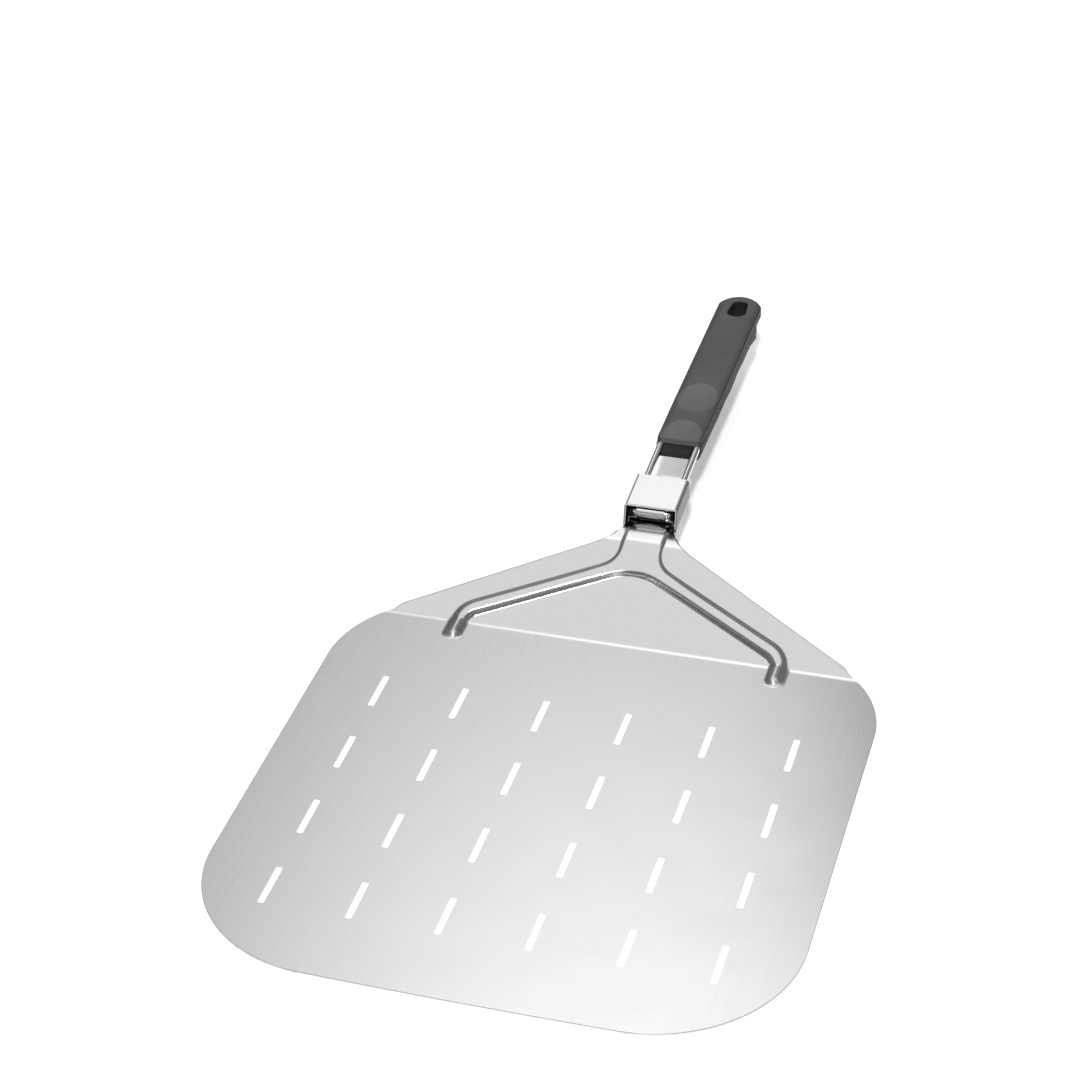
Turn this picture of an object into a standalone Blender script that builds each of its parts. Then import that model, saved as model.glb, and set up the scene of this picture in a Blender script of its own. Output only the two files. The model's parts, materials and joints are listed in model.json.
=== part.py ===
"""Folding pizza peel: a stamped steel blade, a wire frame hinged on it, a locking sleeve and a grip.

Run with: blender --background --python part.py
Metres, +Z up, +Y from the blade's front edge to the grip, X = 0 on the plane of symmetry.
The origin is on the table, under the middle of the peel's overall length.
"""
import math

import bmesh
import bpy
from mathutils import Matrix, Vector

# Overall. Every "y" below is counted from the blade's front edge, and every "z" from the table.
OVERALL_LENGTH = 0.6335
BLADE_WIDTH = 0.320
SHEET = 0.001                 # blade steel
GAP = 0.0003                  # clearance kept between neighbouring pieces

# Blade outline
FRONT_CORNER_RADIUS = 0.0795
REAR_CORNER_RADIUS = 0.070
REAR_CORNER_Y = 0.258         # centre of the rear corner arcs
REAR_ARC_END_Y = 0.305
SHOULDER = (0.1310, 0.3142)   # x, y where the straight diagonal edges begin
DIAGONAL_SLOPE = 1.9966       # x lost per y along the diagonals
NECK_HALF_WIDTH = 0.0143
NECK_FILLET = 0.031
NECK_TUCK = 0.0010            # narrower by this where it goes into the sleeve
NECK_TUCK_Y = (0.3780, 0.3845)
NECK_END_Y = 0.3885
LIP_DROP, LIP_REACH = 0.0028, 0.0007   # turned-down edge of the ramp and neck
LIP_START = (0.3090, 0.3220)  # it deepens between these
LIP_END = (0.3660, 0.3780)    # and fades out between these

# Blade mesh
BLADE_COLUMNS = 52
RAMP_ROWS_Y, RAMP_ROW_PITCH = 0.2893, 0.0034

# Blade profile
CREASE_Y = 0.3075
CREASE_RADIUS = 0.012
RAMP_ANGLE = math.radians(27)
NECK_BEND_Y = 0.3675
NECK_BEND_RADIUS = 0.014
NECK_ANGLE = math.radians(5)

# Raised wishbone: two feet, two arms, and a stem up the neck
BEAD_HEIGHT = 0.0032
BEAD_END_HEIGHT = 0.0021      # under the hinge bracket
BEAD_SINK_Y = (0.3720, 0.3840)  # it comes down to that height between these
BEAD_WALL = 0.0030
ARM_HALF_WIDTH = 0.0052
FOOT_X = 0.0960
FOOT_END_Y = 0.2945
FOOT_BEND_RADIUS = 0.012
ARM_POINT = (0.060, 0.3298)   # a point on the arm's centre line
ARM_SLOPE = 0.45              # y lost per x along the arm
ARM_APEX_RADIUS = 0.035
STEM_HALF_WIDTH = 0.0128
STEM_FILLET = 0.009

# Drain slots: columns across the blade, rows along it
SLOT_SIZE = (0.0037, 0.0285)
SLOT_PITCH = (0.0478, 0.0573)
SLOT_FIRST_ROW_Y = 0.059
SLOT_COLUMNS, SLOT_ROWS = 6, 4

# Hinge
HINGE_Y, HINGE_Z = 0.389, 0.0397
WIRE_RADIUS = 0.00225
BARREL_HALF_LENGTH = 0.0086
BARREL_INNER_RADIUS = WIRE_RADIUS + GAP
BRACKET_SHEET = 0.001
EAR_REAR = 0.001              # the ears end this far behind the hinge line
TONGUE_RUN = 0.0015           # flat part of the tongue before it curls round the rod
CURL_ANGLE, CURL_STEPS = 300, 14
BRACKET_HALF_WIDTH = 0.0142
BRACKET_FRONT, BRACKET_REAR = -0.0025, 0.0065   # along the legs, from the hinge axis
BRACKET_FLANGE_REAR = 0.0005
BRACKET_DEPTH = 0.0060        # the sides' lower edges, from the hinge axis

# Wire frame
LEG_X = 0.0114
LEG_BEND_RADIUS = 0.0033
LEG_LENGTH = 0.066            # sloping part, from the hinge axis to the bend inside the grip
LEG_INNER_X = 0.0088          # the legs close in to this inside the grip
LEG_END = 0.146               # behind the hinge axis
LEG_HOOK_RADIUS = 0.004
LEG_CLOSING = (0.012, 0.030)  # it closes in between these distances behind the bend
LEG_TIP = 0.002               # straight tip beyond the hook
LEG_POINTS = (0.020, 0.045)   # path points on the straight leg, from the hinge
LEG_BEND_ROOM = 0.003         # straight leg stops this short of the bend to the level run
LEG_LEVEL_START = 0.002       # level run starts this far past the bend

# Sleeve, in the frame of the legs
SLEEVE_TOP_FRONT, SLEEVE_TOP_REAR = -0.0012, 0.0285
SLEEVE_BOTTOM_FRONT, SLEEVE_BOTTOM_REAR = -0.0063, 0.0274
SLEEVE_HALF_WIDTH = 0.0162
SLEEVE_BOTTOM, SLEEVE_TOP = -0.0088, 0.0058
SLEEVE_WALL = 0.0012
SLEEVE_CORNER = 0.0020
SPRING_STRIP = 0.0005
SPRING_HALF_WIDTH = 0.0030
SPRING_CENTRE = 0.01615

# Grip. Its top rises towards the rear; its parting plane is level.
GRIP_HALF_WIDTH = 0.0142
GRIP_TOP_Z = 0.0510           # at the front
GRIP_RISE = math.radians(1.3)
GRIP_HIGHEST_Z = 0.0560       # above every point of the top
CROWN_RADIUS = 0.100
PARTING_Z = 0.0463
UPPER_FRONT_Y = 0.4560        # at the parting line; the face leans back from there
FRONT_TRIM = 0.002            # made this much too long, then cut along the leaning front face
UPPER_TOP_FRONT_Y = 0.4585
GRIP_END_RADIUS = 0.0155
LOWER_END_Y = 0.6135
LOWER_INSET = 0.0001          # the lower shell is this much narrower on each side
BELLY_EDGE = 0.0015
DIMPLE_YS = (0.4615, 0.5054)
DIMPLE_DEPTH = 0.0014
DIMPLE_OVER = 1.2             # the dish reaches this much past the thumb rest's rim
DIMPLE_HALF_WIDTH, DIMPLE_HALF_LENGTH = 0.0125, 0.0170
HOLE_FRONT_Y, HOLE_REAR_Y = 0.6080, 0.6285
HOLE_FRONT_HALF, HOLE_REAR_HALF = 0.0067, 0.0045
HOLE_FRONT_CORNER, HOLE_REAR_CORNER = 0.0056, 0.0042
TAIL_FRONT_Y, TAIL_REAR_Y = 0.6138, 0.6312   # deeper part of the upper shell, round the hole
TAIL_HALF_WIDTH, TAIL_BOTTOM_Z = 0.0102, 0.0415
TAIL_FRONT_CORNER, TAIL_REAR_CORNER = 0.0010, 0.0085
TAIL_OVERLAP = 0.0020    # the tail runs this far into the shell above the parting plane
CAVITY_HALF_WIDTH = 0.0125
CAVITY_FRONT_Y = 0.4635
CAVITY_ROOF_Z = 0.0480
UPPER_CAVITY_REAR_Y = 0.6055
BELOW_GRIP_Z, ABOVE_PARTING_Z = 0.0350, 0.0500   # where the cutters of the two shells end
ROD_ROOM_FLOOR_Z, ROD_ROOM_REAR_Y = 0.0426, 0.5455
REAR_ROOM_FLOOR_Z, REAR_ROOM_FRONT_Y, REAR_ROOM_END_Y = 0.0447, 0.5475, 0.5880
SCREW_YS = (0.4850, 0.5975)
SCREW_RADIUS, SCREW_HEAD_RADIUS, SCREW_HEAD_HEIGHT = 0.0013, 0.0028, 0.0014
SCREW_LENGTH = 0.0064
SCREW_HEAD_Z = 0.0409         # underside of the heads
BOSS_RADIUS = 0.0034
BOSS_BOTTOM_Z = 0.0446
# Underside of the grip from the rear to the nose: y, z
BELLY = ((0.6135, 0.0412), (0.6115, 0.0383), (0.6060, 0.0376), (0.5995, 0.0395), (0.5900, 0.0413),
         (0.5820, 0.0408), (0.5740, 0.0404), (0.5650, 0.0409), (0.5560, 0.0410), (0.5470, 0.0402),
         (0.5380, 0.0396), (0.5290, 0.0401), (0.5200, 0.0405), (0.5110, 0.0402), (0.5020, 0.0398),
         (0.4930, 0.0400), (0.4840, 0.0401), (0.4750, 0.0400), (0.4600, 0.0400), (0.4540, 0.0402),
         (0.4500, 0.0411), (0.4477, 0.0426), (0.4469, 0.0444), (0.4472, 0.0458))

FRONT_Y = -OVERALL_LENGTH / 2


# ---------------------------------------------------------------- scene helpers

def clear_scene():
    for item in list(bpy.data.objects):
        bpy.data.objects.remove(item, do_unlink=True)


def new_collection(name):
    collection = bpy.data.collections.new(name)
    bpy.context.scene.collection.children.link(collection)
    return collection


def new_material(name, colour, roughness, metallic):
    material = bpy.data.materials.new(name)
    material.use_nodes = True
    shader = material.node_tree.nodes["Principled BSDF"]
    shader.inputs["Base Color"].default_value = (*colour, 1.0)
    shader.inputs["Roughness"].default_value = roughness
    shader.inputs["Metallic"].default_value = metallic
    return material


def new_empty(name, location, parent=None, tilt=0.0):
    empty = bpy.data.objects.new(name, None)
    empty.location = location
    empty.rotation_euler = (tilt, 0, 0)
    empty.parent = parent
    PEEL.objects.link(empty)
    return empty


def place(data, name, material, parent, collection=None):
    """Make an object of a mesh or curve, in its parent's frame."""
    item = bpy.data.objects.new(name, data)
    if material is not None:
        item.data.materials.append(material)
    item.parent = parent
    (collection or PEEL).objects.link(item)
    return item


def mesh_of(bm, name):
    bmesh.ops.recalc_face_normals(bm, faces=bm.faces)
    mesh = bpy.data.meshes.new(name)
    bm.to_mesh(mesh)
    bm.free()
    return mesh


def smooth(item, angle=35):
    item.data.shade_smooth()
    item.data.set_sharp_from_angle(angle=math.radians(angle))


def add_box(bm, low, high):
    """Add a closed box between two corners."""
    made = bmesh.ops.create_cube(bm, size=1.0)["verts"]
    low, high = Vector(low), Vector(high)
    bmesh.ops.scale(bm, vec=high - low, verts=made)
    bmesh.ops.translate(bm, vec=(low + high) / 2, verts=made)


def add_cylinder(bm, radius, low, high, segments=24):
    """Add a closed cylinder along Z between the points low and high."""
    made = bmesh.ops.create_cone(bm, cap_ends=True, segments=segments, radius1=radius,
                                 radius2=radius, depth=high[2] - low[2])["verts"]
    bmesh.ops.translate(bm, vec=(Vector(low) + Vector(high)) / 2, verts=made)


def as_cutter(item):
    item.hide_render = True
    item.display_type = "WIRE"
    return item


def cutter(bm, name, parent):
    return as_cutter(place(mesh_of(bm, name), name, None, parent, CUTTERS))


def boolean(item, other, operation):
    step = item.modifiers.new(operation.lower(), "BOOLEAN")
    step.operation = operation
    step.solver = "EXACT"
    step.object = other


def bevel(item, width, segments=2, angle=35):
    step = item.modifiers.new("rounded edges", "BEVEL")
    step.width = width
    step.segments = segments
    step.limit_method = "ANGLE"
    step.angle_limit = math.radians(angle)


def curve_from(outlines, name, half_thickness):
    """A flat 2D curve of one or more closed outlines, filled, and extruded both ways."""
    curve = bpy.data.curves.new(name, "CURVE")
    curve.dimensions = "2D"
    curve.fill_mode = "BOTH"
    curve.extrude = half_thickness
    for points in outlines:
        spline = curve.splines.new("POLY")
        spline.points.add(len(points) - 1)
        for target, (x, y) in zip(spline.points, points):
            target.co = (x, y, 0, 1)
        spline.use_cyclic_u = True
    return curve


def meshed(item):
    """Replace a curve object by the mesh it evaluates to, with its caps welded."""
    bpy.context.view_layer.update()
    graph = bpy.context.evaluated_depsgraph_get()
    mesh = bpy.data.meshes.new_from_object(item.evaluated_get(graph))
    bm = bmesh.new()
    bm.from_mesh(mesh)
    bmesh.ops.remove_doubles(bm, verts=bm.verts, dist=0.00001)
    bmesh.ops.recalc_face_normals(bm, faces=bm.faces)
    bm.to_mesh(mesh)
    bm.free()
    name, parent, matrix = item.name, item.parent, item.matrix_world.copy()
    bpy.data.objects.remove(item, do_unlink=True)
    made = bpy.data.objects.new(name, mesh)
    made.parent = parent
    made.matrix_world = matrix
    PEEL.objects.link(made)
    bpy.context.view_layer.update()
    return made


def rounded_outline(corners, radii, steps=5):
    """A closed outline through the corners, each rounded with its own radius."""
    points = []
    count = len(corners)
    for i, radius in enumerate(radii):
        corner = Vector(corners[i])
        back = (Vector(corners[i - 1]) - corner).normalized()
        ahead = (Vector(corners[(i + 1) % count]) - corner).normalized()
        half = math.acos(max(-1.0, min(1.0, back.dot(ahead)))) / 2
        centre = corner + (back + ahead).normalized() * (radius / math.sin(half))
        start = corner + back * (radius / math.tan(half)) - centre
        end = corner + ahead * (radius / math.tan(half)) - centre
        turn = math.atan2(start.x * end.y - start.y * end.x, start.dot(end))
        for k in range(steps + 1):
            angle = turn * k / steps
            c, s = math.cos(angle), math.sin(angle)
            points.append((centre.x + c * start.x - s * start.y, centre.y + s * start.x + c * start.y))
    return points


def smoothstep(value, low, high):
    t = max(0.0, min(1.0, (value - low) / (high - low)))
    return t * t * (3 - 2 * t)


# ---------------------------------------------------------------- blade

def half_width(y):
    """Half the blade's width at y: corner arcs, sides, diagonals, neck fillets."""
    half = BLADE_WIDTH / 2
    if y < FRONT_CORNER_RADIUS:
        rise = FRONT_CORNER_RADIUS - y
        return half - FRONT_CORNER_RADIUS + math.sqrt(FRONT_CORNER_RADIUS ** 2 - rise ** 2)
    if y < REAR_CORNER_Y:
        return half

    def rear_arc(at):
        return half - REAR_CORNER_RADIUS + math.sqrt(REAR_CORNER_RADIUS ** 2 - (at - REAR_CORNER_Y) ** 2)
    if y < REAR_ARC_END_Y:
        return rear_arc(y)
    if y < SHOULDER[1]:
        start = rear_arc(REAR_ARC_END_Y)
        part = (y - REAR_ARC_END_Y) / (SHOULDER[1] - REAR_ARC_END_Y)
        return start + (SHOULDER[0] - start) * part
    turn = math.atan(DIAGONAL_SLOPE)
    fillet_x = NECK_HALF_WIDTH + NECK_FILLET * (1 - math.cos(turn))
    fillet_y = SHOULDER[1] + (SHOULDER[0] - fillet_x) / DIAGONAL_SLOPE
    if y < fillet_y:
        return SHOULDER[0] - DIAGONAL_SLOPE * (y - SHOULDER[1])
    centre_y = fillet_y + NECK_FILLET * math.sin(turn)
    rise = max(0.0, (centre_y - y) / NECK_FILLET)
    tuck = NECK_TUCK * smoothstep(y, *NECK_TUCK_Y)
    return NECK_HALF_WIDTH + NECK_FILLET * (1 - math.sqrt(1 - rise ** 2)) - tuck


def slope_angle(y):
    """The sheet's slope: flat, up the ramp, then almost level along the neck."""
    crease_half = CREASE_RADIUS * math.sin(RAMP_ANGLE) / 2
    bend_half = NECK_BEND_RADIUS * math.sin(RAMP_ANGLE - NECK_ANGLE) / 2
    up = (y - CREASE_Y + crease_half) / (2 * crease_half)
    down = (y - NECK_BEND_Y + bend_half) / (2 * bend_half)
    up, down = max(0.0, min(1.0, up)), max(0.0, min(1.0, down))
    return RAMP_ANGLE * up - (RAMP_ANGLE - NECK_ANGLE) * down


def mid_height(y, step=0.0005):
    """Height of the middle of the sheet at y, from the slope summed along it."""
    height = SHEET / 2
    at = CREASE_Y - 0.005
    while at < y:
        length = min(step, y - at)
        height += math.tan(slope_angle(at + length / 2)) * length
        at += length
    return height


def distance_to_segment(x, y, a, b):
    ax, ay = b[0] - a[0], b[1] - a[1]
    t = ((x - a[0]) * ax + (y - a[1]) * ay) / (ax * ax + ay * ay)
    t = max(0.0, min(1.0, t))
    return math.hypot(x - a[0] - t * ax, y - a[1] - t * ay)


def wishbone_path():
    """Centre line of the right half of the raised wishbone, from its foot to the middle."""
    arm = math.atan(ARM_SLOPE)
    top = ARM_POINT[1] + ARM_SLOPE * ARM_POINT[0]
    corner_y = top - ARM_SLOPE * FOOT_X
    reach = FOOT_BEND_RADIUS * math.tan((math.pi / 2 - arm) / 2)
    points = [(FOOT_X, FOOT_END_Y)]
    centre = (FOOT_X - FOOT_BEND_RADIUS, corner_y - reach)
    for k in range(5):
        angle = (math.pi / 2 - arm) * k / 4
        points.append((centre[0] + FOOT_BEND_RADIUS * math.cos(angle),
                       centre[1] + FOOT_BEND_RADIUS * math.sin(angle)))
    apex_x = ARM_APEX_RADIUS * math.sin(arm)
    centre_y = top - ARM_SLOPE * apex_x - ARM_APEX_RADIUS * math.cos(arm)
    for k in range(5):
        angle = arm * (1 - k / 4)
        points.append((ARM_APEX_RADIUS * math.sin(angle), centre_y + ARM_APEX_RADIUS * math.cos(angle)))
    return points


def bead_height(x, y, path):
    """Height of the wishbone above the plain sheet at x, y."""
    x = abs(x)
    arm = ARM_HALF_WIDTH - min(distance_to_segment(x, y, a, b) for a, b in zip(path, path[1:]))
    stem = min(STEM_HALF_WIDTH - x, y - path[-1][1])
    blend = max(0.0, STEM_FILLET - abs(arm - stem)) / STEM_FILLET
    inside = max(arm, stem) + blend * blend * STEM_FILLET / 4
    height = BEAD_HEIGHT + (BEAD_END_HEIGHT - BEAD_HEIGHT) * smoothstep(y, *BEAD_SINK_Y)
    return height * smoothstep(inside, 0.0, BEAD_WALL)


def blade_rows():
    """The y of each row of the blade's mesh, closer together where the outline or the sheet bends."""
    rows = [FRONT_CORNER_RADIUS * (1 - math.cos(math.radians(a))) for a in range(0, 91, 10)]
    rows += [(FRONT_CORNER_RADIUS + REAR_CORNER_Y) / 2, REAR_CORNER_Y]
    rows += [REAR_CORNER_Y + REAR_CORNER_RADIUS * math.sin(math.radians(a)) for a in (8, 16, 23)]
    count = round((NECK_END_Y - RAMP_ROWS_Y) / RAMP_ROW_PITCH)
    return rows + [RAMP_ROWS_Y + (NECK_END_Y - RAMP_ROWS_Y) * k / count for k in range(count + 1)]


def make_blade(material, parent):
    columns = BLADE_COLUMNS
    rows = blade_rows()
    path = wishbone_path()
    bm = bmesh.new()
    bmesh.ops.create_grid(bm, x_segments=columns + 1, y_segments=len(rows) - 1, size=0.5)
    bm.verts.ensure_lookup_table()
    for vert in bm.verts:
        column = round((vert.co.x + 0.5) * (columns + 1))
        y = rows[round((vert.co.y + 0.5) * (len(rows) - 1))]
        fold = half_width(y) - LIP_REACH
        drop = LIP_DROP * smoothstep(y, *LIP_START) * (1 - smoothstep(y, *LIP_END))
        side = 1 if column > columns / 2 else -1
        lip = column in (0, columns + 1)
        part = 1.0 if lip else abs(2 * (column - 1) / (columns - 1) - 1)
        x = side * (half_width(y) if lip else fold * part)
        slope = slope_angle(y)
        lift = -drop if lip else bead_height(x, y, path)
        vert.co = (x, y - lift * math.sin(slope), mid_height(y) + lift * math.cos(slope))
    blade = place(mesh_of(bm, "blade"), "blade", material, parent)
    shell = blade.modifiers.new("sheet", "SOLIDIFY")
    shell.thickness = SHEET
    shell.offset = 0.0
    smooth(blade, 40)
    slots = bmesh.new()
    for column in range(SLOT_COLUMNS):
        x = (column - (SLOT_COLUMNS - 1) / 2) * SLOT_PITCH[0]
        for row in range(SLOT_ROWS):
            y = SLOT_FIRST_ROW_Y + row * SLOT_PITCH[1]
            half_x, half_y = SLOT_SIZE[0] / 2, SLOT_SIZE[1] / 2
            add_box(slots, (x - half_x, y - half_y, -SHEET), (x + half_x, y + half_y, 3 * SHEET))
    boolean(blade, cutter(slots, "slot_cutters", parent), "DIFFERENCE")
    return blade


# ---------------------------------------------------------------- hinge, in the frame of the legs

def make_bracket(material, parent):
    """Hinge bracket: a plate with turned-down sides, and a tongue curled round the wire."""
    middle = BARREL_INNER_RADIUS + BRACKET_SHEET / 2
    top, bottom = -BARREL_INNER_RADIUS, -BARREL_INNER_RADIUS - BRACKET_SHEET
    plate = bmesh.new()
    add_box(plate, (-BRACKET_HALF_WIDTH, 0.0, bottom), (BRACKET_HALF_WIDTH, BRACKET_REAR, top))
    bracket = place(mesh_of(plate, "hinge_bracket"), "hinge_bracket", material, parent)
    inner_x = BARREL_HALF_LENGTH + GAP
    for side in (-1, 1):
        ear = bmesh.new()
        low, high = sorted((side * inner_x, side * BRACKET_HALF_WIDTH))
        add_box(ear, (low, BRACKET_FRONT, bottom), (high, EAR_REAR, top))
        boolean(bracket, cutter(ear, f"bracket_ear_{side}", parent), "UNION")
        flange = bmesh.new()
        low, high = sorted((side * (BRACKET_HALF_WIDTH - BRACKET_SHEET), side * BRACKET_HALF_WIDTH))
        add_box(flange, (low, BRACKET_FRONT, -BRACKET_DEPTH), (high, BRACKET_FLANGE_REAR, top))
        boolean(bracket, cutter(flange, f"bracket_flange_{side}", parent), "UNION")
    curl = bmesh.new()
    bmesh.ops.create_grid(curl, x_segments=1, y_segments=CURL_STEPS + 1, size=0.5)
    for vert in curl.verts:
        step = round((vert.co.y + 0.5) * (CURL_STEPS + 1))
        x = BARREL_HALF_LENGTH * (1 if vert.co.x > 0 else -1)
        if step == 0:
            vert.co = (x, TONGUE_RUN, -middle)
        else:
            angle = math.radians(-90 - CURL_ANGLE * (step - 1) / CURL_STEPS)
            vert.co = (x, middle * math.cos(angle), middle * math.sin(angle))
    tongue = as_cutter(place(mesh_of(curl, "bracket_tongue"), "bracket_tongue", None, parent, CUTTERS))
    shell = tongue.modifiers.new("sheet", "SOLIDIFY")
    shell.thickness = BRACKET_SHEET
    shell.offset = 0.0
    boolean(bracket, tongue, "UNION")
    smooth(bracket)
    return bracket


def make_sleeve(material, parent):
    """Rectangular tube that slides along the legs, open at both ends, its mouths cut aslant."""
    half_z = (SLEEVE_TOP - SLEEVE_BOTTOM) / 2
    outlines = []
    for inset in (0.0, SLEEVE_WALL):
        x, z = SLEEVE_HALF_WIDTH - inset, half_z - inset
        corners = [(-x, -z), (x, -z), (x, z), (-x, z)]
        outlines.append(rounded_outline(corners, [SLEEVE_CORNER - inset] * 4))
    sleeve = meshed(place(curve_from(outlines, "locking_sleeve", 0.5), "locking_sleeve", None, parent))
    sleeve.data.materials.append(material)
    for vert in sleeve.data.vertices:
        part = (vert.co.y + half_z) / (2 * half_z)
        if vert.co.z > 0:
            along = SLEEVE_BOTTOM_FRONT + (SLEEVE_TOP_FRONT - SLEEVE_BOTTOM_FRONT) * part
        else:
            along = SLEEVE_BOTTOM_REAR + (SLEEVE_TOP_REAR - SLEEVE_BOTTOM_REAR) * part
        vert.co = (vert.co.x, along, SLEEVE_BOTTOM + 2 * half_z * part)
    return sleeve


def make_spring(material, parent):
    """Leaf spring under the sleeve's roof: a bowed strip that presses on both legs."""
    roof = SLEEVE_TOP - SLEEVE_WALL - GAP - SPRING_STRIP / 2
    rest = WIRE_RADIUS + GAP + SPRING_STRIP / 2
    steps = 16
    bm = bmesh.new()
    bmesh.ops.create_grid(bm, x_segments=steps, y_segments=1, size=0.5)
    reach = LEG_X + WIRE_RADIUS * 0.5
    for vert in bm.verts:
        part = vert.co.x * 2
        y = SPRING_CENTRE + SPRING_HALF_WIDTH * (1 if vert.co.y > 0 else -1)
        vert.co = (part * reach, y, roof + (rest - roof) * part * part)
    spring = place(mesh_of(bm, "sleeve_spring"), "sleeve_spring", material, parent)
    shell = spring.modifiers.new("strip", "SOLIDIFY")
    shell.thickness = SPRING_STRIP
    shell.offset = 0.0
    smooth(spring)
    return spring


# ---------------------------------------------------------------- wire frame, in the frame of the fold

def on_leg(x, along):
    """A point of the sloping legs, at a distance from the hinge axis."""
    return (x, along * math.cos(NECK_ANGLE), along * math.sin(NECK_ANGLE))


def leg_path(side):
    """Centre line of one leg, from the sloping part to where it closes in inside the grip."""
    points = [on_leg(LEG_X, along) for along in (*LEG_POINTS, LEG_LENGTH - LEG_BEND_ROOM)]
    _, level_y, level_z = on_leg(LEG_X, LEG_LENGTH)
    points.append((LEG_X, level_y + LEG_LEVEL_START, level_z))
    for part in (0.0, 0.25, 0.5, 0.75, 1.0):
        closing = (LEG_X - LEG_INNER_X) * smoothstep(part, 0.0, 1.0)
        behind = LEG_CLOSING[0] + (LEG_CLOSING[1] - LEG_CLOSING[0]) * part
        points.append((LEG_X - closing, level_y + behind, level_z))
    return [(side * x, y, z) for x, y, z in points]


def tube(points, radius, name, sides):
    """A curve through the points with a round section."""
    curve = bpy.data.curves.new(name, "CURVE")
    curve.dimensions = "3D"
    curve.bevel_depth = radius
    curve.bevel_resolution = sides
    curve.use_fill_caps = True
    spline = curve.splines.new("POLY")
    spline.points.add(len(points) - 1)
    for target, point in zip(spline.points, points):
        target.co = (*point, 1)
    spline.use_smooth = True
    return curve


def make_wire(material, parent):
    """One rod: crossbar in the bracket's barrel, two legs, and ends hooked inside the grip."""
    bend_x = LEG_X - LEG_BEND_RADIUS
    half = [(0.0, 0.0, 0.0), (bend_x * 0.5, 0.0, 0.0)]
    for k in range(6):
        angle = math.radians(90) * k / 5
        half.append(on_leg(bend_x + LEG_BEND_RADIUS * math.sin(angle),
                           LEG_BEND_RADIUS * (1 - math.cos(angle))))
    half += leg_path(1)
    level_z = half[-1][2]
    for k in range(5):
        angle = math.radians(90) * k / 4
        half.append((LEG_INNER_X - LEG_HOOK_RADIUS * (1 - math.cos(angle)),
                     LEG_END + LEG_HOOK_RADIUS * math.sin(angle), level_z))
    half.append((LEG_INNER_X - LEG_HOOK_RADIUS - LEG_TIP, LEG_END + LEG_HOOK_RADIUS, level_z))
    points = [(-x, y, z) for x, y, z in reversed(half[1:])] + half
    return place(tube(points, WIRE_RADIUS, "wire_frame", 3), "wire_frame", material, parent)


# ---------------------------------------------------------------- grip, in the frame of the fold

def from_hinge(y, z):
    return y - HINGE_Y, z - HINGE_Z


def add_room(bm, half_x, low, high):
    """Add a box centred on X = 0 between two (y, z) corners measured from the front edge and table."""
    low, high = from_hinge(*low), from_hinge(*high)
    add_box(bm, (-half_x, *low), (half_x, *high))


def upright(outline, name, low, high, parent):
    """A prism on an (x, y) outline between two heights, as a mesh object."""
    curve = curve_from([[(x, y - HINGE_Y) for x, y in outline]], name, (high - low) / 2)
    item = place(curve, name, None, parent)
    item.location = (0, 0, (low + high) / 2 - HINGE_Z)
    return meshed(item)


def hidden(item):
    """Move a finished object among the cutters."""
    PEEL.objects.unlink(item)
    CUTTERS.objects.link(item)
    return as_cutter(item)


def cut_rod_ways(shell, name, parent):
    """Round grooves for the two rods where they pass through the front of a shell."""
    for side in (-1, 1):
        way = tube(leg_path(side), WIRE_RADIUS + GAP, f"{name}_{side}", 4)
        boolean(shell, hidden(meshed(place(way, f"{name}_{side}", None, parent))), "DIFFERENCE")


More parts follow.
